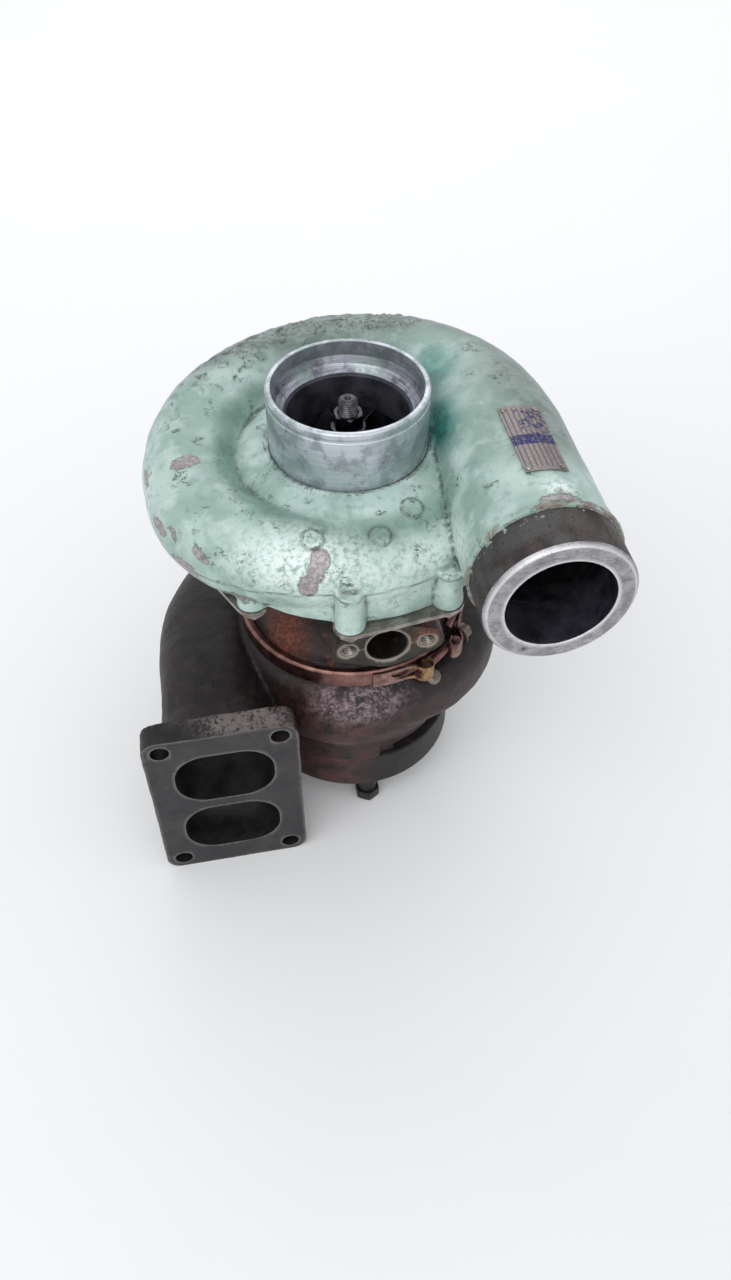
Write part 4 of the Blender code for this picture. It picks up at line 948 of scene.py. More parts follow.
def in_passage(centres, facing):
    """Whether a face is on the inside of the scroll or the pipe, so that it looks at the section's middle."""
    away, angle = np.hypot(centres[:, 0], centres[:, 1]), np.degrees(np.arctan2(centres[:, 1], centres[:, 0]))
    turn = (SCROLL_START - angle) % 360
    sections = [scroll_size(min(step, SCROLL_TURN)) for step in range(361)]
    radius, middle = np.array(sections)[np.round(turn).astype(int)].T
    out, up = away - middle, centres[:, 2] - SCROLL_LOW - radius
    outward = (facing[:, 0] * centres[:, 0] + facing[:, 1] * centres[:, 1]) / away
    scroll = (
        (turn < SCROLL_TURN) & (np.hypot(out, up) < radius - 2)
        & (outward * out + facing[:, 2] * up < 0) & (away > 55)
    )
    beside, above = centres[:, 0] - OUTLET_X, centres[:, 2] - OUTLET_Z
    pipe = (centres[:, 1] < 0) & (np.hypot(beside, above) < SCROLL_LARGE + 0.3)
    return scroll | pipe & (facing[:, 0] * beside + facing[:, 2] * above < 0.05)


def inlet_tube(metal, shaded, bore):
    profile = [
        (INLET_BORE, INLET_TOP),
        (INLET_RADIUS - 1, INLET_TOP),
        (INLET_RADIUS, INLET_TOP - 1),
        (INLET_RADIUS, INLET_TOP - 4),
        (INLET_RADIUS - 0.6, INLET_TOP - 4.6),
        (INLET_RADIUS - 0.6, INLET_TOP - 6.4),
        (INLET_RADIUS - 0.1, INLET_TOP - 7.0),
        (INLET_RADIUS - 0.1, TUBE_FOOT),
        (INDUCER_BORE, TUBE_FOOT),
        (INDUCER_BORE, INLET_STEP),
        (INDUCER_BORE + 2.5, INLET_STEP + 1.2),
        (INLET_BORE - 2, INLET_STEP + 5),
        (INLET_BORE, INLET_STEP + 10),
    ]
    made = turned("inlet_tube_looks", profile, 180, round_by=0.5)

    # Painted shade: the bellmouth inside the tube takes a darker copy of the turned aluminium, and the bore below
    # the step a dark one.
    def choose(centres, facing):
        inner = np.hypot(centres[:, 0], centres[:, 1]) < INLET_BORE + 0.2
        return np.where(
            inner & (centres[:, 2] < INLET_STEP + 0.6), 2, inner & (centres[:, 2] < INLET_STEP + 9.5)
        )

    return done(made, "housings", [metal, shaded, bore], ["inlet_tube"], choose, 60)


def outlet_band(seat, face, bore):
    start = OUTLET_Y + OUTLET_BAND + 5
    inner = mix(OUTLET_BORE + 1, OUTLET_BORE, (start + 90) / (OUTLET_Y + 85))
    profile = [
        (OUTLET_BORE, OUTLET_Y),
        (SCROLL_LARGE - 2.5, OUTLET_Y),
        (SCROLL_LARGE, OUTLET_Y + 2.5),
        (SCROLL_LARGE, start),
        (inner + 0.4, start),
    ]
    made = pipe_turned("outlet_hose_seat", profile, 144, 0.7)
    made = finer(made, 2.0)
    points = places(made)
    away = np.hypot(points[:, 0] - OUTLET_X, points[:, 2] - OUTLET_Z)
    field(made, "near_paint", smooth((points[:, 1] - start + 14) / 8))
    # The edge field places the painted highlight on the face's inner and outer edges.
    edge = np.maximum(1 - abs(away - OUTLET_BORE - 0.6) / 1.3, 1 - abs(away - SCROLL_LARGE + 2.2) / 1.2)
    field(made, "edge", smooth(edge))
    field(made, "pit", near(points, (75.5, OUTLET_Y, 249.0), (3.4, 4, 2.2)))

    def choose(centres, facing):
        away = np.hypot(centres[:, 0] - OUTLET_X, centres[:, 2] - OUTLET_Z)
        inside = (away < OUTLET_BORE + 1.4) & (centres[:, 1] > OUTLET_Y + 0.4)
        return np.where(inside, 2, np.where(centres[:, 1] < OUTLET_Y + 2.7, 1, 0))

    return done(made, "housings", [seat, face, bore], choose=choose, sharp=50)


# ---------------------------------------------------------------- rotor


def blade(path, start, thickness, wrap, angle):
    """One blade: a curved sheet between its root and tip lines, thinner at the tip and at its leading edge."""
    rings = []
    for share in np.linspace(start, 1.0, 26):
        root_r, root_z, tip_r, tip_z = path(share)
        turn = angle + wrap(share)
        lead = 0.45 + 0.55 * smooth((share - start) / 0.12)
        ring = []
        for side in (-1, 1):
            for step in range(7) if side < 0 else range(6, -1, -1):
                level = step / 6
                radius, z = mix(root_r, tip_r, level), mix(root_z, tip_z, level)
                thick = thickness * mix(1.0, 0.45, level) * lead * side / 2
                ring.append(around(radius, turn + math.degrees(thick / radius), z))
        rings.append(ring)
    return loft("blade", rings)


def compressor_path(share):
    bend = math.radians(90 * share)
    root = (mix(9.5, EXDUCER - 0.8, 1 - math.cos(bend)), mix(INDUCER_EDGE, 253.2, math.sin(bend)))
    return (*root, *shroud(share, 0.0))


def turbine_path(share):
    bend = math.radians(90 * share)
    root = (mix(9.0, TURBINE_TIP - 2, 1 - math.sin(bend)), mix(146.5, 111.0, 1 - math.cos(bend)))
    out = (1 - math.sin(bend)) ** 1.4
    return (*root, mix(40.9, TURBINE_TIP - 0.4, out), mix(134.0, 110.0, 1 - math.cos(bend)))


def compressor_wheel(metal):
    hub = [(6.5, 306.5), (10.2, 306.5), (11, 305.5), (11.6, 292), (14.5, 280), (20, 268.5), (29, 260.5)]
    hub += [(39, 256.3), (EXDUCER, 254.8), (EXDUCER, 252.4), (24, 251.4), (6.5, 251.4)]
    body = turned("compressor_wheel_looks", hub, 112, round_by=2.5)
    blades = []
    for i in range(COMPRESSOR_BLADES):
        angle = 360 / COMPRESSOR_BLADES * i
        blades.append(blade(compressor_path, 0.0, 1.9, lambda share: 58 * share, angle))
        half = angle + 180 / COMPRESSOR_BLADES
        blades.append(blade(compressor_path, 0.38, 1.9, lambda share: 58 * share, half))
    boolean(body, blades, "UNION")
    return done(body, "rotor", [metal], ["compressor_wheel"])


def turbine_wheel(metal):
    hub = [
        (0, 149), (11.5, 149), (12.5, 148.6), (TURBINE_TIP - 4, 148.4), (TURBINE_TIP - 4, 146.4), (30, 144.6)
    ]
    hub += [(20, 137), (13.5, 126), (11.5, 114), (11, 106), (9, 103.5), (0, 103.5)]
    body = turned("turbine_wheel_looks", hub, 110, round_by=1.5)
    blades = [
        blade(turbine_path, 0.0, 2.2, lambda share: 48 * share**2, 360 / TURBINE_BLADES * i)
        for i in range(TURBINE_BLADES)
    ]
    boolean(body, blades, "UNION")
    return done(body, "rotor", [metal], ["turbine_wheel"])


def thread_ring(core, depth, pitch, z, steps, clear=0.0):
    """A ring across a screw thread: its radius rises and falls once round, a little further on at each height."""
    turn = np.arange(steps) / steps
    phase = (z / pitch + turn) % 1.0
    crest = np.clip(2.4 * (0.5 - abs(phase - 0.5)) - 0.1, 0, 1)
    return ring_at(core + depth * crest - clear, z, steps)


def shaft(metal):
    thin, thick, steps = 6.2, 8.0, 64
    rings = [ring_at(thin - 1.5, 329.0, steps), ring_at(thin - 1.1, 328.7, steps)]
    rings += [thread_ring(thin - 0.95, 0.8, 1.5, z, steps) for z in np.arange(328.3, 307.5, -0.19)]
    lower = [(thin, 306), (thin, 222), (thick, 222), (thick, 201), (thick - 0.8, 200), (thick - 0.8, 184)]
    lower += [(thick, 183), (thick, 163.5), (12, 163), (12, 161.2), (10.6, 161.2), (10.6, 158.8), (12, 158.8)]
    lower += [(12, 149.8), (11, 149.3)]
    rings += [ring_at(radius, z, steps) for radius, z in rounded(lower, 0.4, closed=False)]
    made = loft("rotor_shaft_looks", rings)
    centre = rod("centre", 0.1, (0, 0, 325.5), (0, 0, 330), 24, 2.6)
    boolean(made, [centre], "DIFFERENCE")
    return done(made, "rotor", [metal], ["rotor_shaft"], sharp=40)


def hexagon(name, across, low, high, bore=0.0, collar=None, dome=0.0):
    """A nut or bolt head between two heights, its corners chamfered by a cone at each end."""
    steps = 96
    turn = np.arange(steps) * math.tau / steps
    flat = across / 2 / np.cos((turn + math.pi / 6) % (math.pi / 3) - math.pi / 6)
    corner = across / 2 / math.cos(math.pi / 6)
    rings = []
    for drop, limit in ((0.0, corner - 1.1), (0.35, corner - 0.5), (0.8, corner)):
        rings.append(ring_at(np.minimum(flat, limit), high - drop, steps))
    if collar:
        rim, thick = collar
        rings += [
            ring_at(flat, low + thick + 0.3, steps), ring_at(np.maximum(flat, rim - 0.5), low + thick, steps)
        ]
        rings += [
            ring_at(rim, low + thick - 0.5, steps),
            ring_at(rim, low + 0.3, steps),
            ring_at(rim - 0.4, low, steps),
        ]
    else:
        for rise, limit in ((0.8, corner), (0.35, corner - 0.5), (0.0, corner - 1.1)):
            rings.append(ring_at(np.minimum(flat, limit), low + rise, steps))
    if bore:
        rings += [ring_at(bore + 0.4, low, steps), ring_at(bore, low + 0.5, steps)]
        rings += [ring_at(bore, high - 0.5, steps), ring_at(bore + 0.4, high, steps)]
        return loft(name, rings, looped=True)
    if dome:
        for i in range(1, 7):
            share = i / 6
            rings.append(ring_at(mix(across / 2 - 0.6, 2.0, share**1.5), low - dome * smooth(share), steps))
    return loft(name, rings)


def shaft_nut(metal):
    made = hexagon("shaft_nut_looks", 17.0, 306.8, 319.0, bore=6.35, collar=(11.2, 2.5))
    return done(made, "rotor", [metal], ["shaft_nut"])


# ---------------------------------------------------------------- bearing group


def belt(circles, count=40):
    """The outline of a belt pulled round circles given as (x, y, radius)."""
    points = []
    for x, y, radius in circles:
        for i in range(count):
            points.append(
                (x + radius * math.cos(math.tau * i / count), y + radius * math.sin(math.tau * i / count))
            )
    return [points[i] for i in convex_hull_2d([Vector(p) for p in points])]


def upright(name, outline, middle, front, back):
    """An outline in x and z, stood up between two values of y."""
    rings = [[(middle[0] + x, y, middle[1] + z) for x, z in outline] for y in (front, back)]
    return loft(name, rings)


def countersink(x, radius, depth):
    """A cutter that takes the sharp edge off a hole in the oil drain's face."""
    front, back = (x, DRAIN_Y - depth, DRAIN_Z), (x, DRAIN_Y + depth, DRAIN_Z)
    return rod("countersink", radius + depth * 2, front, back, 48, radius - 0.02)


def bearing_casting(rough, face):
    profile = [
        (0, HOUSING_TOP + 0.6),
        (HOUSING_TOP_RADIUS, HOUSING_TOP + 0.6),
        (HOUSING_TOP_RADIUS, 229),
        (74, 226),
        (66, 220),
        (63, 206),
        (64, 190),
        (68, 176),
        (V_WAIST, 169),
        (V_WAIST, 164.5),
        (V_FLANGE, 160),
        (V_FLANGE, HOUSING_LOW - 0.6),
        (0, HOUSING_LOW - 0.6),
    ]
    parts = [turned("body", rounded(profile, 3.0, closed=False), 150)]
    pad = belt([(0, 0, 20.5), (-DRAIN_SPACING / 2, 0, 11.5), (DRAIN_SPACING / 2, 0, 11.5)])
    parts.append(upright("pad", pad, (DRAIN_X, DRAIN_Z), DRAIN_Y - 1.5, DRAIN_Y + 14))
    parts.append(rod("neck", 19.5, (DRAIN_X, DRAIN_Y + 8, DRAIN_Z), (DRAIN_X, -40, DRAIN_Z), 48, 26))
    inlet = belt([(x, z, 6) for x in (-13, 13) for z in (-13, 13)])
    parts.append(upright("inlet", inlet, (0, DRAIN_Z + 5), OIL_INLET_Y + 1.5, OIL_INLET_Y - 26))
    made = cast("bearing_casting", parts, 1.3, 4)
    points = places(made)
    push(made, 0.3 * lumps(points, 11, 51) + 0.15 * lumps(points, 4, 52))
    inside = [
        (0, HOUSING_TOP + 5), (INSERT_RADIUS, HOUSING_TOP + 5), (INSERT_RADIUS, 225), (20, 225), (20, 220.8)
    ]
    inside += [(11.35, 220.8), (11.35, 203), (22, 202), (22, 184), (11.35, 183), (11.35, 164.4), (13.25, 164)]
    inside += [(13.25, HOUSING_LOW - 5), (0, HOUSING_LOW - 5)]
    cutters = [
        turned("bores", inside, 72),
        rod("top_face", 140, (0, 0, HOUSING_TOP), (0, 0, HOUSING_TOP + 20), 48),
        rod("low_face", 140, (0, 0, HOUSING_LOW - 20), (0, 0, HOUSING_LOW), 48),
        upright(
            "front_face",
            [(-60, -40), (60, -40), (60, 40), (-60, 40)],
            (DRAIN_X, DRAIN_Z),
            DRAIN_Y - 20,
            DRAIN_Y,
        ),
        upright(
            "back_face",
            [(-40, -40), (40, -40), (40, 40), (-40, 40)],
            (0, DRAIN_Z + 5),
            OIL_INLET_Y,
            OIL_INLET_Y + 20,
        ),
        rod("drain", DRAIN_BORE, (DRAIN_X, DRAIN_Y - 5, DRAIN_Z), (DRAIN_X * 0.2, -8, DRAIN_Z), 64),
        rod("oil_inlet", 6, (0, OIL_INLET_Y + 5, DRAIN_Z + 5), (0, 30, DRAIN_Z + 5), 40),
        countersink(DRAIN_X, DRAIN_BORE, 1.0),
    ]
    for side in (-1, 1):
        x = DRAIN_X + side * DRAIN_SPACING / 2
        cutters.append(rod("drain_thread", 4.9, (x, DRAIN_Y - 5, DRAIN_Z), (x, DRAIN_Y + 18, DRAIN_Z), 32))
        cutters.append(countersink(x, 4.9, 0.9))
        for level in (-1, 1):
            spot = (side * 12, OIL_INLET_Y + 5, DRAIN_Z + 5 + level * 12)
            cutters.append(rod("oil_thread", 2.6, spot, (spot[0], OIL_INLET_Y - 12, spot[2]), 24))
    boolean(made, cutters, "DIFFERENCE")
    finer(made, 2.0, lambda spot: spot[1] < DRAIN_Y + 0.1)
    points = places(made)
    rust = (
        0.85 * near(points, (-54, -46, 178), (26, 30, 40))
        + 0.8 * near(points, (36, -80, 198), (14, 12, 16))
    )
    field(made, "rust", np.clip(rust * 1.4, 0, 1))
    rims = [(DRAIN_X, DRAIN_BORE + 1)] + [(DRAIN_X + side * DRAIN_SPACING / 2, 5.8) for side in (-1, 1)]
    near_rim = [1 - abs(np.hypot(points[:, 0] - x, points[:, 2] - DRAIN_Z) - rim) / 1.1 for x, rim in rims]
    field(made, "worn", 0.8 * smooth(np.max(near_rim, axis=0)) * (points[:, 1] < DRAIN_Y + 1.1))

    def choose(centres, facing):
        flat = (centres[:, 1] < DRAIN_Y + 1.05) & (facing[:, 1] < -0.3) | (centres[:, 1] > OIL_INLET_Y - 0.05)
        return flat | (centres[:, 2] > HOUSING_TOP - 0.05) | (centres[:, 2] < HOUSING_LOW + 0.05)

    return done(made, "housings", [rough, face], ["bearing_housing"], choose)


def drain_threads(metal):
    """The screw thread inside each of the oil drain's two holes."""
    parts = []
    for side in (-1, 1):
        x = DRAIN_X + side * DRAIN_SPACING / 2
        outer, inner = [], []
        for step in np.arange(0.6, 14, 0.19):
            ring = thread_ring(4.2, 0.6, 1.5, step, 40)
            inner.append(np.stack([x + ring[:, 0], np.full(40, DRAIN_Y + step), DRAIN_Z + ring[:, 1]], 1))
        for ring in (inner[-1], inner[0]):
            centre = np.array([x, ring[0, 1], DRAIN_Z])
            outer.append(centre + (ring - centre) * (4.88 / np.linalg.norm(ring - centre, axis=1))[:, None])
        parts.append(loft("thread", inner + outer, looped=True))
    made = together("drain_threads", parts)
    return done(made, "housings", [metal], sharp=50)


def swept(name, section, first, last, steps):
    """A (radius, z) section carried round the shaft's axis from one angle to another."""
    rings = []
    for angle in np.linspace(first, last, steps):
        rings.append([around(radius, angle, z) for radius, z in section])
    return loft(name, rings)


def v_band(steel_brown):
    """The clamp's channel, open at one place, with the bright edge of its rolled top."""
    channel = [
        (74, 164.6), (77.6, 164.6), (79.4, 162.8), (79.4, 151.4), (77.6, 149.6), (74, 149.6), (74, 151.3)
    ]
    channel += [(76.4, 153.6), (76.4, 160.4), (74, 162.7)]
    half_gap = 5.3
    first, last = BAND_OPENING + half_gap, BAND_OPENING + 360 - half_gap
    made = swept("v_band", rounded(channel, 0.7, True, 3), first, last, 170)
    return done(made, "housings", [steel_brown], ["v_band_clamp"])


def band_strap(name, route, low, high, thick=1.5):
    """A flat strap stood on edge, along (angle, radius) points joined smoothly, as a closed body."""
    path = np.array([around(radius, angle)[:2] for angle, radius in route])
    for _ in range(3):
        middles = (path[:-1] + path[1:]) / 2
        inner = np.stack(
            [mix(path[1:-1], middles[:-1], 0.5), mix(path[1:-1], middles[1:], 0.5)], 1
        ).reshape(-1, 2)
        path = np.vstack([path[:1], inner, path[-1:]])
    along = np.gradient(path, axis=0)
    along /= np.linalg.norm(along, axis=1)[:, None]
    side = np.stack([along[:, 1], -along[:, 0]], 1) * thick / 2
    corners = rounded([(-1, low), (1, low), (1, high), (-1, high)], 0.4, True, 2)
    rings = [[(*(spot + across * share), z) for share, z in corners] for spot, across in zip(path, side)]
    return loft(name, rings)


def clamp_loops(stained, brass):
    """The straps whose ends turn back into the two loops that hold the clamp's bolt."""
    left = [(-89.4, 80.5), (-84, 81.0), (-78, 81.2), (-72, 81.6), (-68.5, 83.2), (-67.6, 87.2), (-65.4, 90.4)]
    left += [(-62.0, 90.4), (-60.2, 87.4), (-61.2, 84.0), (-64.5, 82.6)]
    right = [(-12, 80.4), (-22, 80.9), (-32, 81.2), (-36, 82.6), (-38.6, 86.8), (-41.4, 90.4), (-45.4, 90.8)]
    right += [(-47.8, 88.0), (-46.8, 84.4), (-42.4, 82.6)]
    for name, route, slot_at in (("clamp_loop_left", left, -65.0), ("clamp_loop_right", right, -43.0)):
        made = finer(band_strap(name, route, 150.8, 164.0), 1.6)
        tangent = rod("slot", 4.1, around(88, slot_at + 22, 157.6), around(88, slot_at - 22, 157.6), 32)
        boolean(made, [tangent], "DIFFERENCE")

        def choose(centres, facing, name=name):
            angle = np.degrees(np.arctan2(centres[:, 1], centres[:, 0]))
            return (angle > -70.5) & (name == "clamp_loop_left")

        done(made, "housings", [stained, brass], choose=choose)
        pin = around(86.6 if slot_at < -50 else 87.0, slot_at + (1.1 if slot_at < -50 else 0), 0)
        barrel = turned(
            "trunnion", rounded([(0, 163.0), (3.2, 163.0), (3.2, 151.8), (0, 151.8)], 0.5, False), 32
        )
        barrel.data.transform(Matrix.Translation(Vector(pin) * MM))
        barrel.name = name.replace("loop", "pin")
        done(barrel, "housings", [stained])


def clamp_bolt(steel_bright, stained):
    """The clamp's bolt from loop to loop, its nut, and the domed stud below the left loop."""
    right, left = around(87.6, -31, 157.6), around(87.6, -69, 157.6)
    shank = rod("v_band_bolt_looks", 3.0, right, left, 40)
    done(shank, "housings", [stained], ["v_band_bolt"], sharp=40)
    along = (right - left) / np.linalg.norm(right - left)
    nut = hexagon("v_band_nut_looks", 10.0, 0.0, 8.0, bore=3.1, collar=(7.4, 1.2))
    turn = Vector(along).to_track_quat("Z", "X").to_matrix().to_4x4()
    spot = around(87.6, -37.5, 157.6)
    spot = left + along * ((spot - left) @ along)
    nut.data.transform(
        Matrix.Translation(Vector(AXIS + spot * MM)) @ turn @ Matrix.Translation(-Vector(AXIS))
    )
    done(nut, "housings", [steel_bright], ["v_band_nut"], sharp=40)
    base, tip = np.array([40.5, -68.0, 139.0]), np.array([45.6, -77.5, 148.0])
    out = (tip - base) / np.linalg.norm(tip - base)
    stud = [(0, 0), (5.6, 0.0), (5.6, 11.2), (4.9, 12.6), (3.4, 13.4), (0, 13.6)]
    made = turned("clamp_stud", rounded(stud, 0.5, False), 48)
    turn = Vector(out).to_track_quat("Z", "X").to_matrix().to_4x4()
    made.data.transform(
        Matrix.Translation(Vector(AXIS + base * MM)) @ turn @ Matrix.Translation(-Vector(AXIS))
    )
    done(made, "housings", [steel_bright], sharp=40)


# ---------------------------------------------------------------- turbine housing


def scroll_box(turn):
    share = turn / GAS_TURN
    outer = mix(GAS_OUTER, 83.0, share**1.65)
    inner = mix(66.0, 55.0, share)
    return outer, inner, mix(GAS_LOW, 98.0, share), mix(GAS_HIGH, GAS_HIGH - 4, share)


def rounded_ring(middle, outward, half_width, half_height, radius, per_corner=10):
    """A rectangle with round corners in the plane of outward and +Z."""
    radius = min(radius, half_width * 0.98, half_height * 0.98)
    points = []
    for corner, (side, rise) in enumerate(((1, 1), (-1, 1), (-1, -1), (1, -1))):
        for i in range(per_corner + 1):
            turn = math.radians(90 * (corner + i / per_corner))
            across = side * (half_width - radius) + radius * math.cos(turn)
            height = rise * (half_height - radius) + radius * math.sin(turn)
            points.append(np.array(middle) + np.array(outward) * across + np.array([0, 0, height]))
    return points


def duct_station(y):
    share = smooth((y - PORT_Y - FLANGE_THICKNESS) / DUCT_LENGTH)
    wide = mix(PORT_SIZE[0] / 2 + TURBINE_WALL, GAS_OUTER + PORT_X + 0.5, share)
    tall = mix(PORT_SIZE[1] + PORT_DIVIDER / 2 + TURBINE_WALL, (GAS_HIGH - GAS_LOW) / 2, share)
    return mix(PORT_Z, (GAS_HIGH + GAS_LOW) / 2, share), wide, tall


def turbine_outer():
    rings = []
    for y in (PORT_Y + 8, PORT_Y + 16, PORT_Y + 22, PORT_Y + 30, PORT_Y + 40, -55, -48, -39, -30, -20, -8):
        height, wide, tall = duct_station(y)
        more = 7.5 * smooth((PORT_Y + 46 - y) / 38)
        middle = (PORT_X, y, height)
        rings.append(rounded_ring(middle, (-1, 0, 0), wide + more, tall + more * 0.7, 30))
    for i in range(90):
        turn = mix(4, GAS_TURN, i / 89)
        outer, inner, low, high = scroll_box(turn)
        angle = 180 - turn
        middle = around((outer + inner) / 2, angle, (low + high) / 2)
        half = (outer - inner) / 2, (high - low) / 2
        rings.append(rounded_ring(middle, around(1, angle), *half, 0.86 * min(half)))
    return loft("gas_scroll", rings)


def gas_way(side):
    rings = []
    for y in (PORT_Y - 5, PORT_Y + 8, PORT_Y + FLANGE_THICKNESS, -74, -62, -53, -45, -36, -28, -18, -8):
        height, wide, tall = duct_station(max(y, PORT_Y + FLANGE_THICKNESS))
        half_height = (tall - TURBINE_WALL - PORT_DIVIDER / 2) / 2
        middle = (PORT_X, y, height + side * (PORT_DIVIDER / 2 + half_height))
        rings.append(rounded_ring(middle, (-1, 0, 0), wide - TURBINE_WALL, half_height, 22, 8))
    for i in range(48):
        turn = mix(6, GAS_TURN - 18, i / 47)
        outer, inner, low, high = scroll_box(turn)
        angle = 180 - turn
        wall = TURBINE_WALL + SCROLL_WALL_MORE
        half_height = ((high - low) / 2 - wall - PORT_DIVIDER / 2) / 2
        level = (low + high) / 2 + side * (PORT_DIVIDER / 2 + half_height)
        middle = around((outer + inner) / 2, angle, level)
        half_width = (outer - inner) / 2 - wall + 1
        rings.append(rounded_ring(middle, around(1, angle), half_width, half_height, 0.9 * half_height, 8))
    return loft("gas_way", rings)


def turbine_casting(iron, face, soot):
    body = [
        (0, TURBINE_TOP + 0.6),
        (V_FLANGE, TURBINE_TOP + 0.6),
        (V_FLANGE, 154),
        (V_WAIST, 149.5),
        (V_WAIST, 147.5),
        (78, 144),
        (82, 139),
        (84, 130),
        (85, 112),
        (84.5, 100),
        (81, 88),
        (75, 79),
        (72, 73),
        (71, RING_TOP + 4.5),
        (66, RING_TOP + 3),
        (66, RING_TOP - 1),
        (0, RING_TOP - 1),
    ]
    parts = [turned("body", rounded(body, 2.5, closed=False), 150), turbine_outer()]
    foot = [(60, RING_TOP + 16), (75, RING_TOP + 16), (75, RING_TOP - 1), (60, RING_TOP - 1)]
    parts.append(swept("foot", rounded(foot, 1.0, True, 3), -182, -84, 50))
    taper = [(60, RING_TOP + 16), (71, RING_TOP + 16), (71, RING_TOP - 1), (60, RING_TOP - 1)]
    parts.append(swept("foot_end", rounded(taper, 1.0, True, 3), -90, -74, 16))
    half_width, half_height, corner = FLANGE_SIZE[0] / 2, FLANGE_SIZE[1] / 2, 11.0
    outline = belt(
        [(x * (half_width - corner), z * (half_height - corner), corner) for x in (-1, 1) for z in (-1, 1)]
    )
    parts.append(upright("flange", outline, (PORT_X, PORT_Z), PORT_Y - 3, PORT_Y + FLANGE_THICKNESS))
    ring_spots = bolt_spots(4, RING_BOLTS, -90)
    for spot in ring_spots:
        parts.append(rod("boss", 9.0, spot + (0, 0, RING_TOP - 1), spot + (0, 0, 96), 40))
    made = cast("turbine_casting", parts, 1.6, 5)
    points = places(made)
    push(made, 0.4 * lumps(points, 15, 61) + 0.2 * lumps(points, 5, 62) + 0.1 * lumps(points, 3, 63))
    inside = [
        (0, 170),
        (70.3, 170),
        (70.3, 152.6),
        (57.5, 152.6),
        (57.5, 148.2),
        (68, 147.4),
        (68, 104),
        (57.5, 104),
        (57.5, 132),
        (55, 133.4),
        (47, 133.4),
        (44, 126),
        (42, 118),
        (41.6, 108),
        (42.5, 100),
        (RING_BORE - 1, RING_TOP - 5),
        (0, RING_TOP - 5),
    ]
    frame_box = [(-90, -100), (90, -100), (90, 100), (-90, 100)]
    cutters = [
        turned("inside", rounded(inside, 0.6, closed=False), 120),
        gas_way(1),
        gas_way(-1),
        rod("top_face", 74.5, (0, 0, TURBINE_TOP), (0, 0, TURBINE_TOP + 9), 96),
        rod("low_face", 80, (0, 0, RING_TOP - 20), (0, 0, RING_TOP + 0.3), 96),
        upright("face", frame_box, (PORT_X, PORT_Z), PORT_Y - 30, PORT_Y),
    ]
    for x, z in flange_hole_spots():
        cutters.append(rod("flange_hole", FLANGE_HOLE, (x, PORT_Y - 5, z), (x, PORT_Y + 26, z), 40))
    for spot in ring_spots:
        cutters.append(rod("ring_thread", 5.4, spot + (0, 0, 50), spot + (0, 0, 88), 24))
    boolean(made, cutters, "DIFFERENCE")
    finer(made, 2.5, lambda spot: spot[1] < PORT_Y + 0.1)
    points = places(made)
    radius, angle = np.hypot(points[:, 0], points[:, 1]), np.degrees(np.arctan2(points[:, 1], points[:, 0]))
    stand = bulge(made, 3)
    # Painted sheen: the shoulder's part of the scale field is a pinkish highlight over scale.
    shoulder = near(points, (-12, -82, 134), (52, 26, 26))
    low_step = 0.45 * near(points, (-22, -76, 84), (26, 16, 12))
    flange_top = near(points, (-78, -94, 151), (44, 14, 8))
    field(made, "scale", np.clip(1.7 * shoulder + 0.9 * flange_top + low_step, 0, 1))
    along_top = near(points, (-74, -98, 152), (58, 12, 8)) + 0.6 * near(points, (-88, -88, 152), (60, 16, 9))
    field(made, "ash", np.clip(1.8 * along_top, 0, 1) * smooth((normals(made)[:, 2] - 0.4) / 0.3))
    red = (
        near(points, (-30, -70, 118), (50, 40, 50))
        + 0.7 * smooth((150 - points[:, 2]) / 60) * smooth((radius - 60) / 20)
    )
    field(made, "red", np.clip(red, 0, 1))
    field(made, "hollow", smooth((-stand - 0.12) / 0.4))
    worn = smooth((stand - 0.15) / 0.4) * (radius < 140)
    on_face = points[:, 1] < PORT_Y + 0.1
    field(made, "worn", np.where(on_face, 0.6 * smooth(1.0 - from_flange_edges(points) / 0.8), worn))

    def choose(centres, facing):
        front = (centres[:, 1] < PORT_Y + 0.05) & (facing[:, 1] < -0.9)
        away = np.hypot(centres[:, 0], centres[:, 1])
        port = (abs(centres[:, 0] - PORT_X) < PORT_SIZE[0] / 2 + 1) & (abs(centres[:, 2] - PORT_Z) < 60)
        inner = (
            (away < 56)
            | port & (centres[:, 1] > PORT_Y + 0.05) & (centres[:, 1] < -20) & (inside_way(centres))
        )
        spots = [
            np.hypot(centres[:, 0] - x, centres[:, 2] - z) < FLANGE_HOLE + 0.3 for x, z in flange_hole_spots()
        ]
        holes = np.any(spots, axis=0) & (centres[:, 1] > PORT_Y + 0.05) & (centres[:, 1] < PORT_Y + 24)
        return np.where(front, 1, np.where(inner | holes, 2, 0))

    return done(made, "housings", [iron, face, soot], ["turbine_housing"], choose)


def flange_hole_spots():
    return [
        (PORT_X + x * FLANGE_HOLES[0] / 2, PORT_Z + z * FLANGE_HOLES[1] / 2) for x in (-1, 1) for z in (-1, 1)
    ]


def from_flange_edges(points):
    """How far each point of the flange's face is from the nearest edge of it, a port or a hole."""

    def from_box(x, z, wide, tall, corner):
        over = np.stack(
            [abs(points[:, 0] - x) - wide / 2 + corner, abs(points[:, 2] - z) - tall / 2 + corner]
        )
        return abs(np.linalg.norm(np.maximum(over, 0), axis=0) + np.minimum(over.max(0), 0) - corner)

    far = [from_box(PORT_X, PORT_Z, *FLANGE_SIZE, 11)]
    for side in (-1, 1):
        far.append(from_box(PORT_X, PORT_Z + side * (PORT_SIZE[1] + PORT_DIVIDER) / 2, *PORT_SIZE, 22))
    for x, z in flange_hole_spots():
        far.append(abs(np.hypot(points[:, 0] - x, points[:, 2] - z) - FLANGE_HOLE))
    return np.min(far, axis=0)


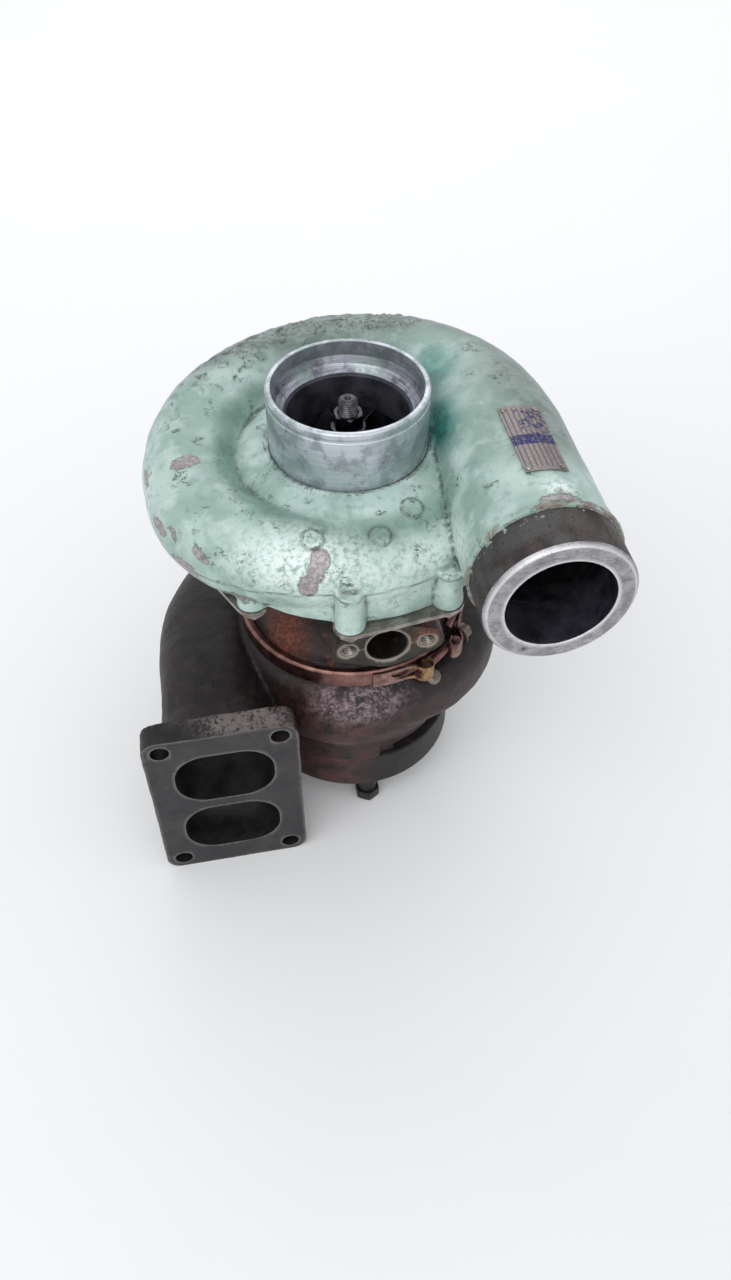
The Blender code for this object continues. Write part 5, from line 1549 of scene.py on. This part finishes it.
def inside_way(centres):
    """Points of the straight duct that lie inside its outer wall."""
    share = smooth(
        (np.maximum(centres[:, 1], PORT_Y + FLANGE_THICKNESS) - PORT_Y - FLANGE_THICKNESS) / DUCT_LENGTH
    )
    wide = mix(PORT_SIZE[0] / 2 + TURBINE_WALL, GAS_OUTER + PORT_X + 0.5, share)
    tall = mix(PORT_SIZE[1] + PORT_DIVIDER / 2 + TURBINE_WALL, (GAS_HIGH - GAS_LOW) / 2, share)
    level = mix(PORT_Z, (GAS_HIGH + GAS_LOW) / 2, share)
    return (
        (abs(centres[:, 0] - PORT_X) < wide - TURBINE_WALL + 0.6)
        & (abs(centres[:, 2] - level) < tall - TURBINE_WALL + 0.6)
    )


def outlet_ring(iron):
    profile = [(RING_BORE, RING_TOP), (RING_RADIUS - 0.8, RING_TOP), (RING_RADIUS, RING_TOP - 1.2)]
    profile += [(RING_RADIUS, RING_LOW + 1.5), (RING_RADIUS - 1.5, RING_LOW), (RING_BORE + 2, RING_LOW)]
    made = turned("outlet_ring", rounded(profile, 0.8, closed=True), 180)
    holes = [
        rod("hole", 5.5, spot + (0, 0, 10), spot + (0, 0, 80), 32) for spot in bolt_spots(4, RING_BOLTS, -90)
    ]
    boolean(made, holes, "DIFFERENCE")
    points = places(made)
    field(made, "worn", np.zeros(len(points)))
    field(made, "hollow", np.zeros(len(points)))
    field(made, "scale", np.zeros(len(points)))
    angle = np.degrees(np.arctan2(points[:, 1], points[:, 0]))
    field(made, "red", smooth((-82 - angle) / 25) * smooth((angle + 180) / 30))
    return done(made, "housings", [iron], ["outlet_flange_ring"])


def outlet_bolts(metal):
    for i, spot in enumerate(bolt_spots(4, RING_BOLTS, -90)):
        head = hexagon("head", 17.0, 2.2, 11.0, dome=2.2)
        shank = turned("shank", rounded([(0, 84), (5, 84), (5, 8), (0, 8)], 0.6, closed=False), 40)
        made = boolean(head, [shank], "UNION")
        made.data.transform(Matrix.Translation(Vector(spot) * MM))
        made.name = f"outlet_bolt_looks_{i + 1}"
        done(made, "housings", [metal], [f"outlet_bolt_{i + 1}"])


# ---------------------------------------------------------------- camera, light and floor


def studio():
    scene = bpy.context.scene
    scene.view_settings.view_transform = "Standard"
    camera = bpy.data.objects.new("camera", bpy.data.cameras.new("camera"))
    scene.collection.objects.link(camera)
    scene.camera = camera
    camera.location = Vector(AXIS) + Vector((-0.0899, -0.5332, 0.7129))
    camera.rotation_euler = (math.radians(41.9), 0, math.radians(-10.7))
    camera.data.lens = 30.14
    camera.data.sensor_width = 36
    camera.data.clip_start = 0.01

    world = bpy.data.worlds.new("studio")
    world.use_nodes = True
    scene.world = world
    background = world.node_tree.nodes["Background"]
    background.inputs["Color"].default_value = (0.95, 0.97, 1.0, 1)
    background.inputs["Strength"].default_value = 0.86

    for name, place, size, power, colour in (
        ("key", (-0.75, -1.0, 1.7), 1.5, 14, (1, 1, 0.99)),
        ("back", (0.4, 2.4, 1.9), 2.0, 12, (1, 1, 1)),
        ("front", (0.3, -1.7, 1.1), 1.4, 5, (0.98, 0.99, 1)),
    ):
        lamp = bpy.data.lights.new(name, "AREA")
        lamp.size = size
        lamp.energy = power
        lamp.color = colour
        holder = bpy.data.objects.new(name, lamp)
        holder.location = place
        holder.rotation_euler = (Vector((0, 0, 0.15)) - Vector(place)).to_track_quat("-Z", "Y").to_euler()
        scene.collection.objects.link(holder)

    f = Finish("floor")
    soft = f.noise(220, 2, 0.5)
    split = f.tree.nodes.new("ShaderNodeSeparateXYZ")
    f.feed(split.inputs[0], f.place)
    # Painted light: the floor is darker towards the camera and lighter far behind the turbocharger.
    far = f.ramp(split.outputs[1], -700, 1300)
    pale = f.mix(f.times(soft, 0.3), f.mix(far, "DEDEDE", "FAFAFA"), "F0F0F0")
    floor_material = f.finish(pale, f.add(f.times(soft, 0.1), 0.6))
    mesh = bpy.data.meshes.new("floor")
    reach = 9.0
    mesh.from_pydata(
        [(-reach, -reach, 0), (reach, -reach, 0), (reach, reach, 0), (-reach, reach, 0)], [], [(0, 1, 2, 3)]
    )
    mesh.materials.append(floor_material)
    floor = bpy.data.objects.new("floor", mesh)
    scene.collection.objects.link(floor)


def dress_nodes(finishes):
    """Gives each CAD node that stays its material, and soft edges to the small steel pieces."""
    for name, finish in finishes.items():
        node = frame["nodes"][name]
        node.data.materials.clear()
        node.data.materials.append(finish)
        if not node.hide_render:
            weld = node.modifiers.new("weld", "WELD")
            weld.merge_threshold = 0.00001
            bevel = node.modifiers.new("bevel", "BEVEL")
            bevel.width = 0.0003
            bevel.segments = 2
            bevel.limit_method = "ANGLE"
            bevel.angle_limit = math.radians(40)


studio()
paint = mint_paint()
casting_bore = steel("casting_bore", "6B6C72", "4A4B50", "333438", 0.35)
tube_metal = turned_aluminium("turned_aluminium")
iron, soot = hot_iron(), dark_bore("soot", "2B2729", "1C1A1C")
# Painted shade: the compressor wheel's aluminium is made dark grey to stand for the shade deep in the inlet.
wheel_metal = steel("wheel_aluminium_shade_darkened", "7C7D84", "55565C", "35353A", 0.3)
nickel = steel("wheel_nickel", "6A605A", "4C443F", "2F2A27", 0.35)
shaft_steel = steel("shaft_steel", "5F5E62", "3E3D41", "27262A", 0.16)
plain_steel = steel("plain_steel", "A39C94", "7D766F", "4E4842", 0.22)
brown_steel = steel("brown_steel", "8D6A62", "6B4D47", "3E2B28", 0.2)
black_steel = steel("black_steel", "3F3A3A", "2B2727", "1B1818", 0.3, 0.7)
stud_steel = steel("stud_steel", "8C8078", "645A54", "37302D", 0.18)
strap_steel = steel("strap_steel", "9B7A72", "6F524D", "46332F", 0.2, 0.9, 6.0)
brass = steel("brassy_strap", "AD8A62", "7E5F45", "4A372B", 0.2, 0.9, 5.0)
bronze = steel("bearing_bronze", "A77E45", "86602F", "5A3F1E", 0.25)
rubber = black_rubber()
plate = plate_metal()

compressor_casting(paint, casting_bore)
# The tube's inside takes darker materials as painted shade.
inlet_tube(
    tube_metal,
    turned_aluminium("tube_inside_shaded", "7A7680", "4F4C55"),
    dark_bore("inducer_bore_painted_shade", "4A4A52", "2E2E35"),
)
outlet_band(bare_band(), scratched_face(), dark_bore("air_passage"))
compressor_wheel(wheel_metal)
turbine_wheel(nickel)
shaft(shaft_steel)
shaft_nut(shaft_steel)
bearing_casting(rusty_iron(), pad_face())
drain_threads(plain_steel)
v_band(brown_steel)
clamp_loops(strap_steel, brass)
clamp_bolt(stud_steel, brown_steel)
turbine_casting(iron, flange_face(), soot)
outlet_ring(iron)
outlet_bolts(black_steel)

by_slot = {
    "aluminium": wheel_metal,
    "steel": plain_steel,
    "heat_stained_steel": brown_steel,
    "black_steel": black_steel,
    "bronze": bronze,
    "rubber": rubber,
    "plate_aluminium": plate,
    "painted_casting": paint,
    "turbine_iron": iron,
    "bearing_iron": iron,
    "nickel_alloy": nickel,
}
slots = {part["node"]: part["material_slot"] for part in frame["record"]["subparts"]}
dress_nodes({name: by_slot[slots[name]] for name in frame["nodes"]})
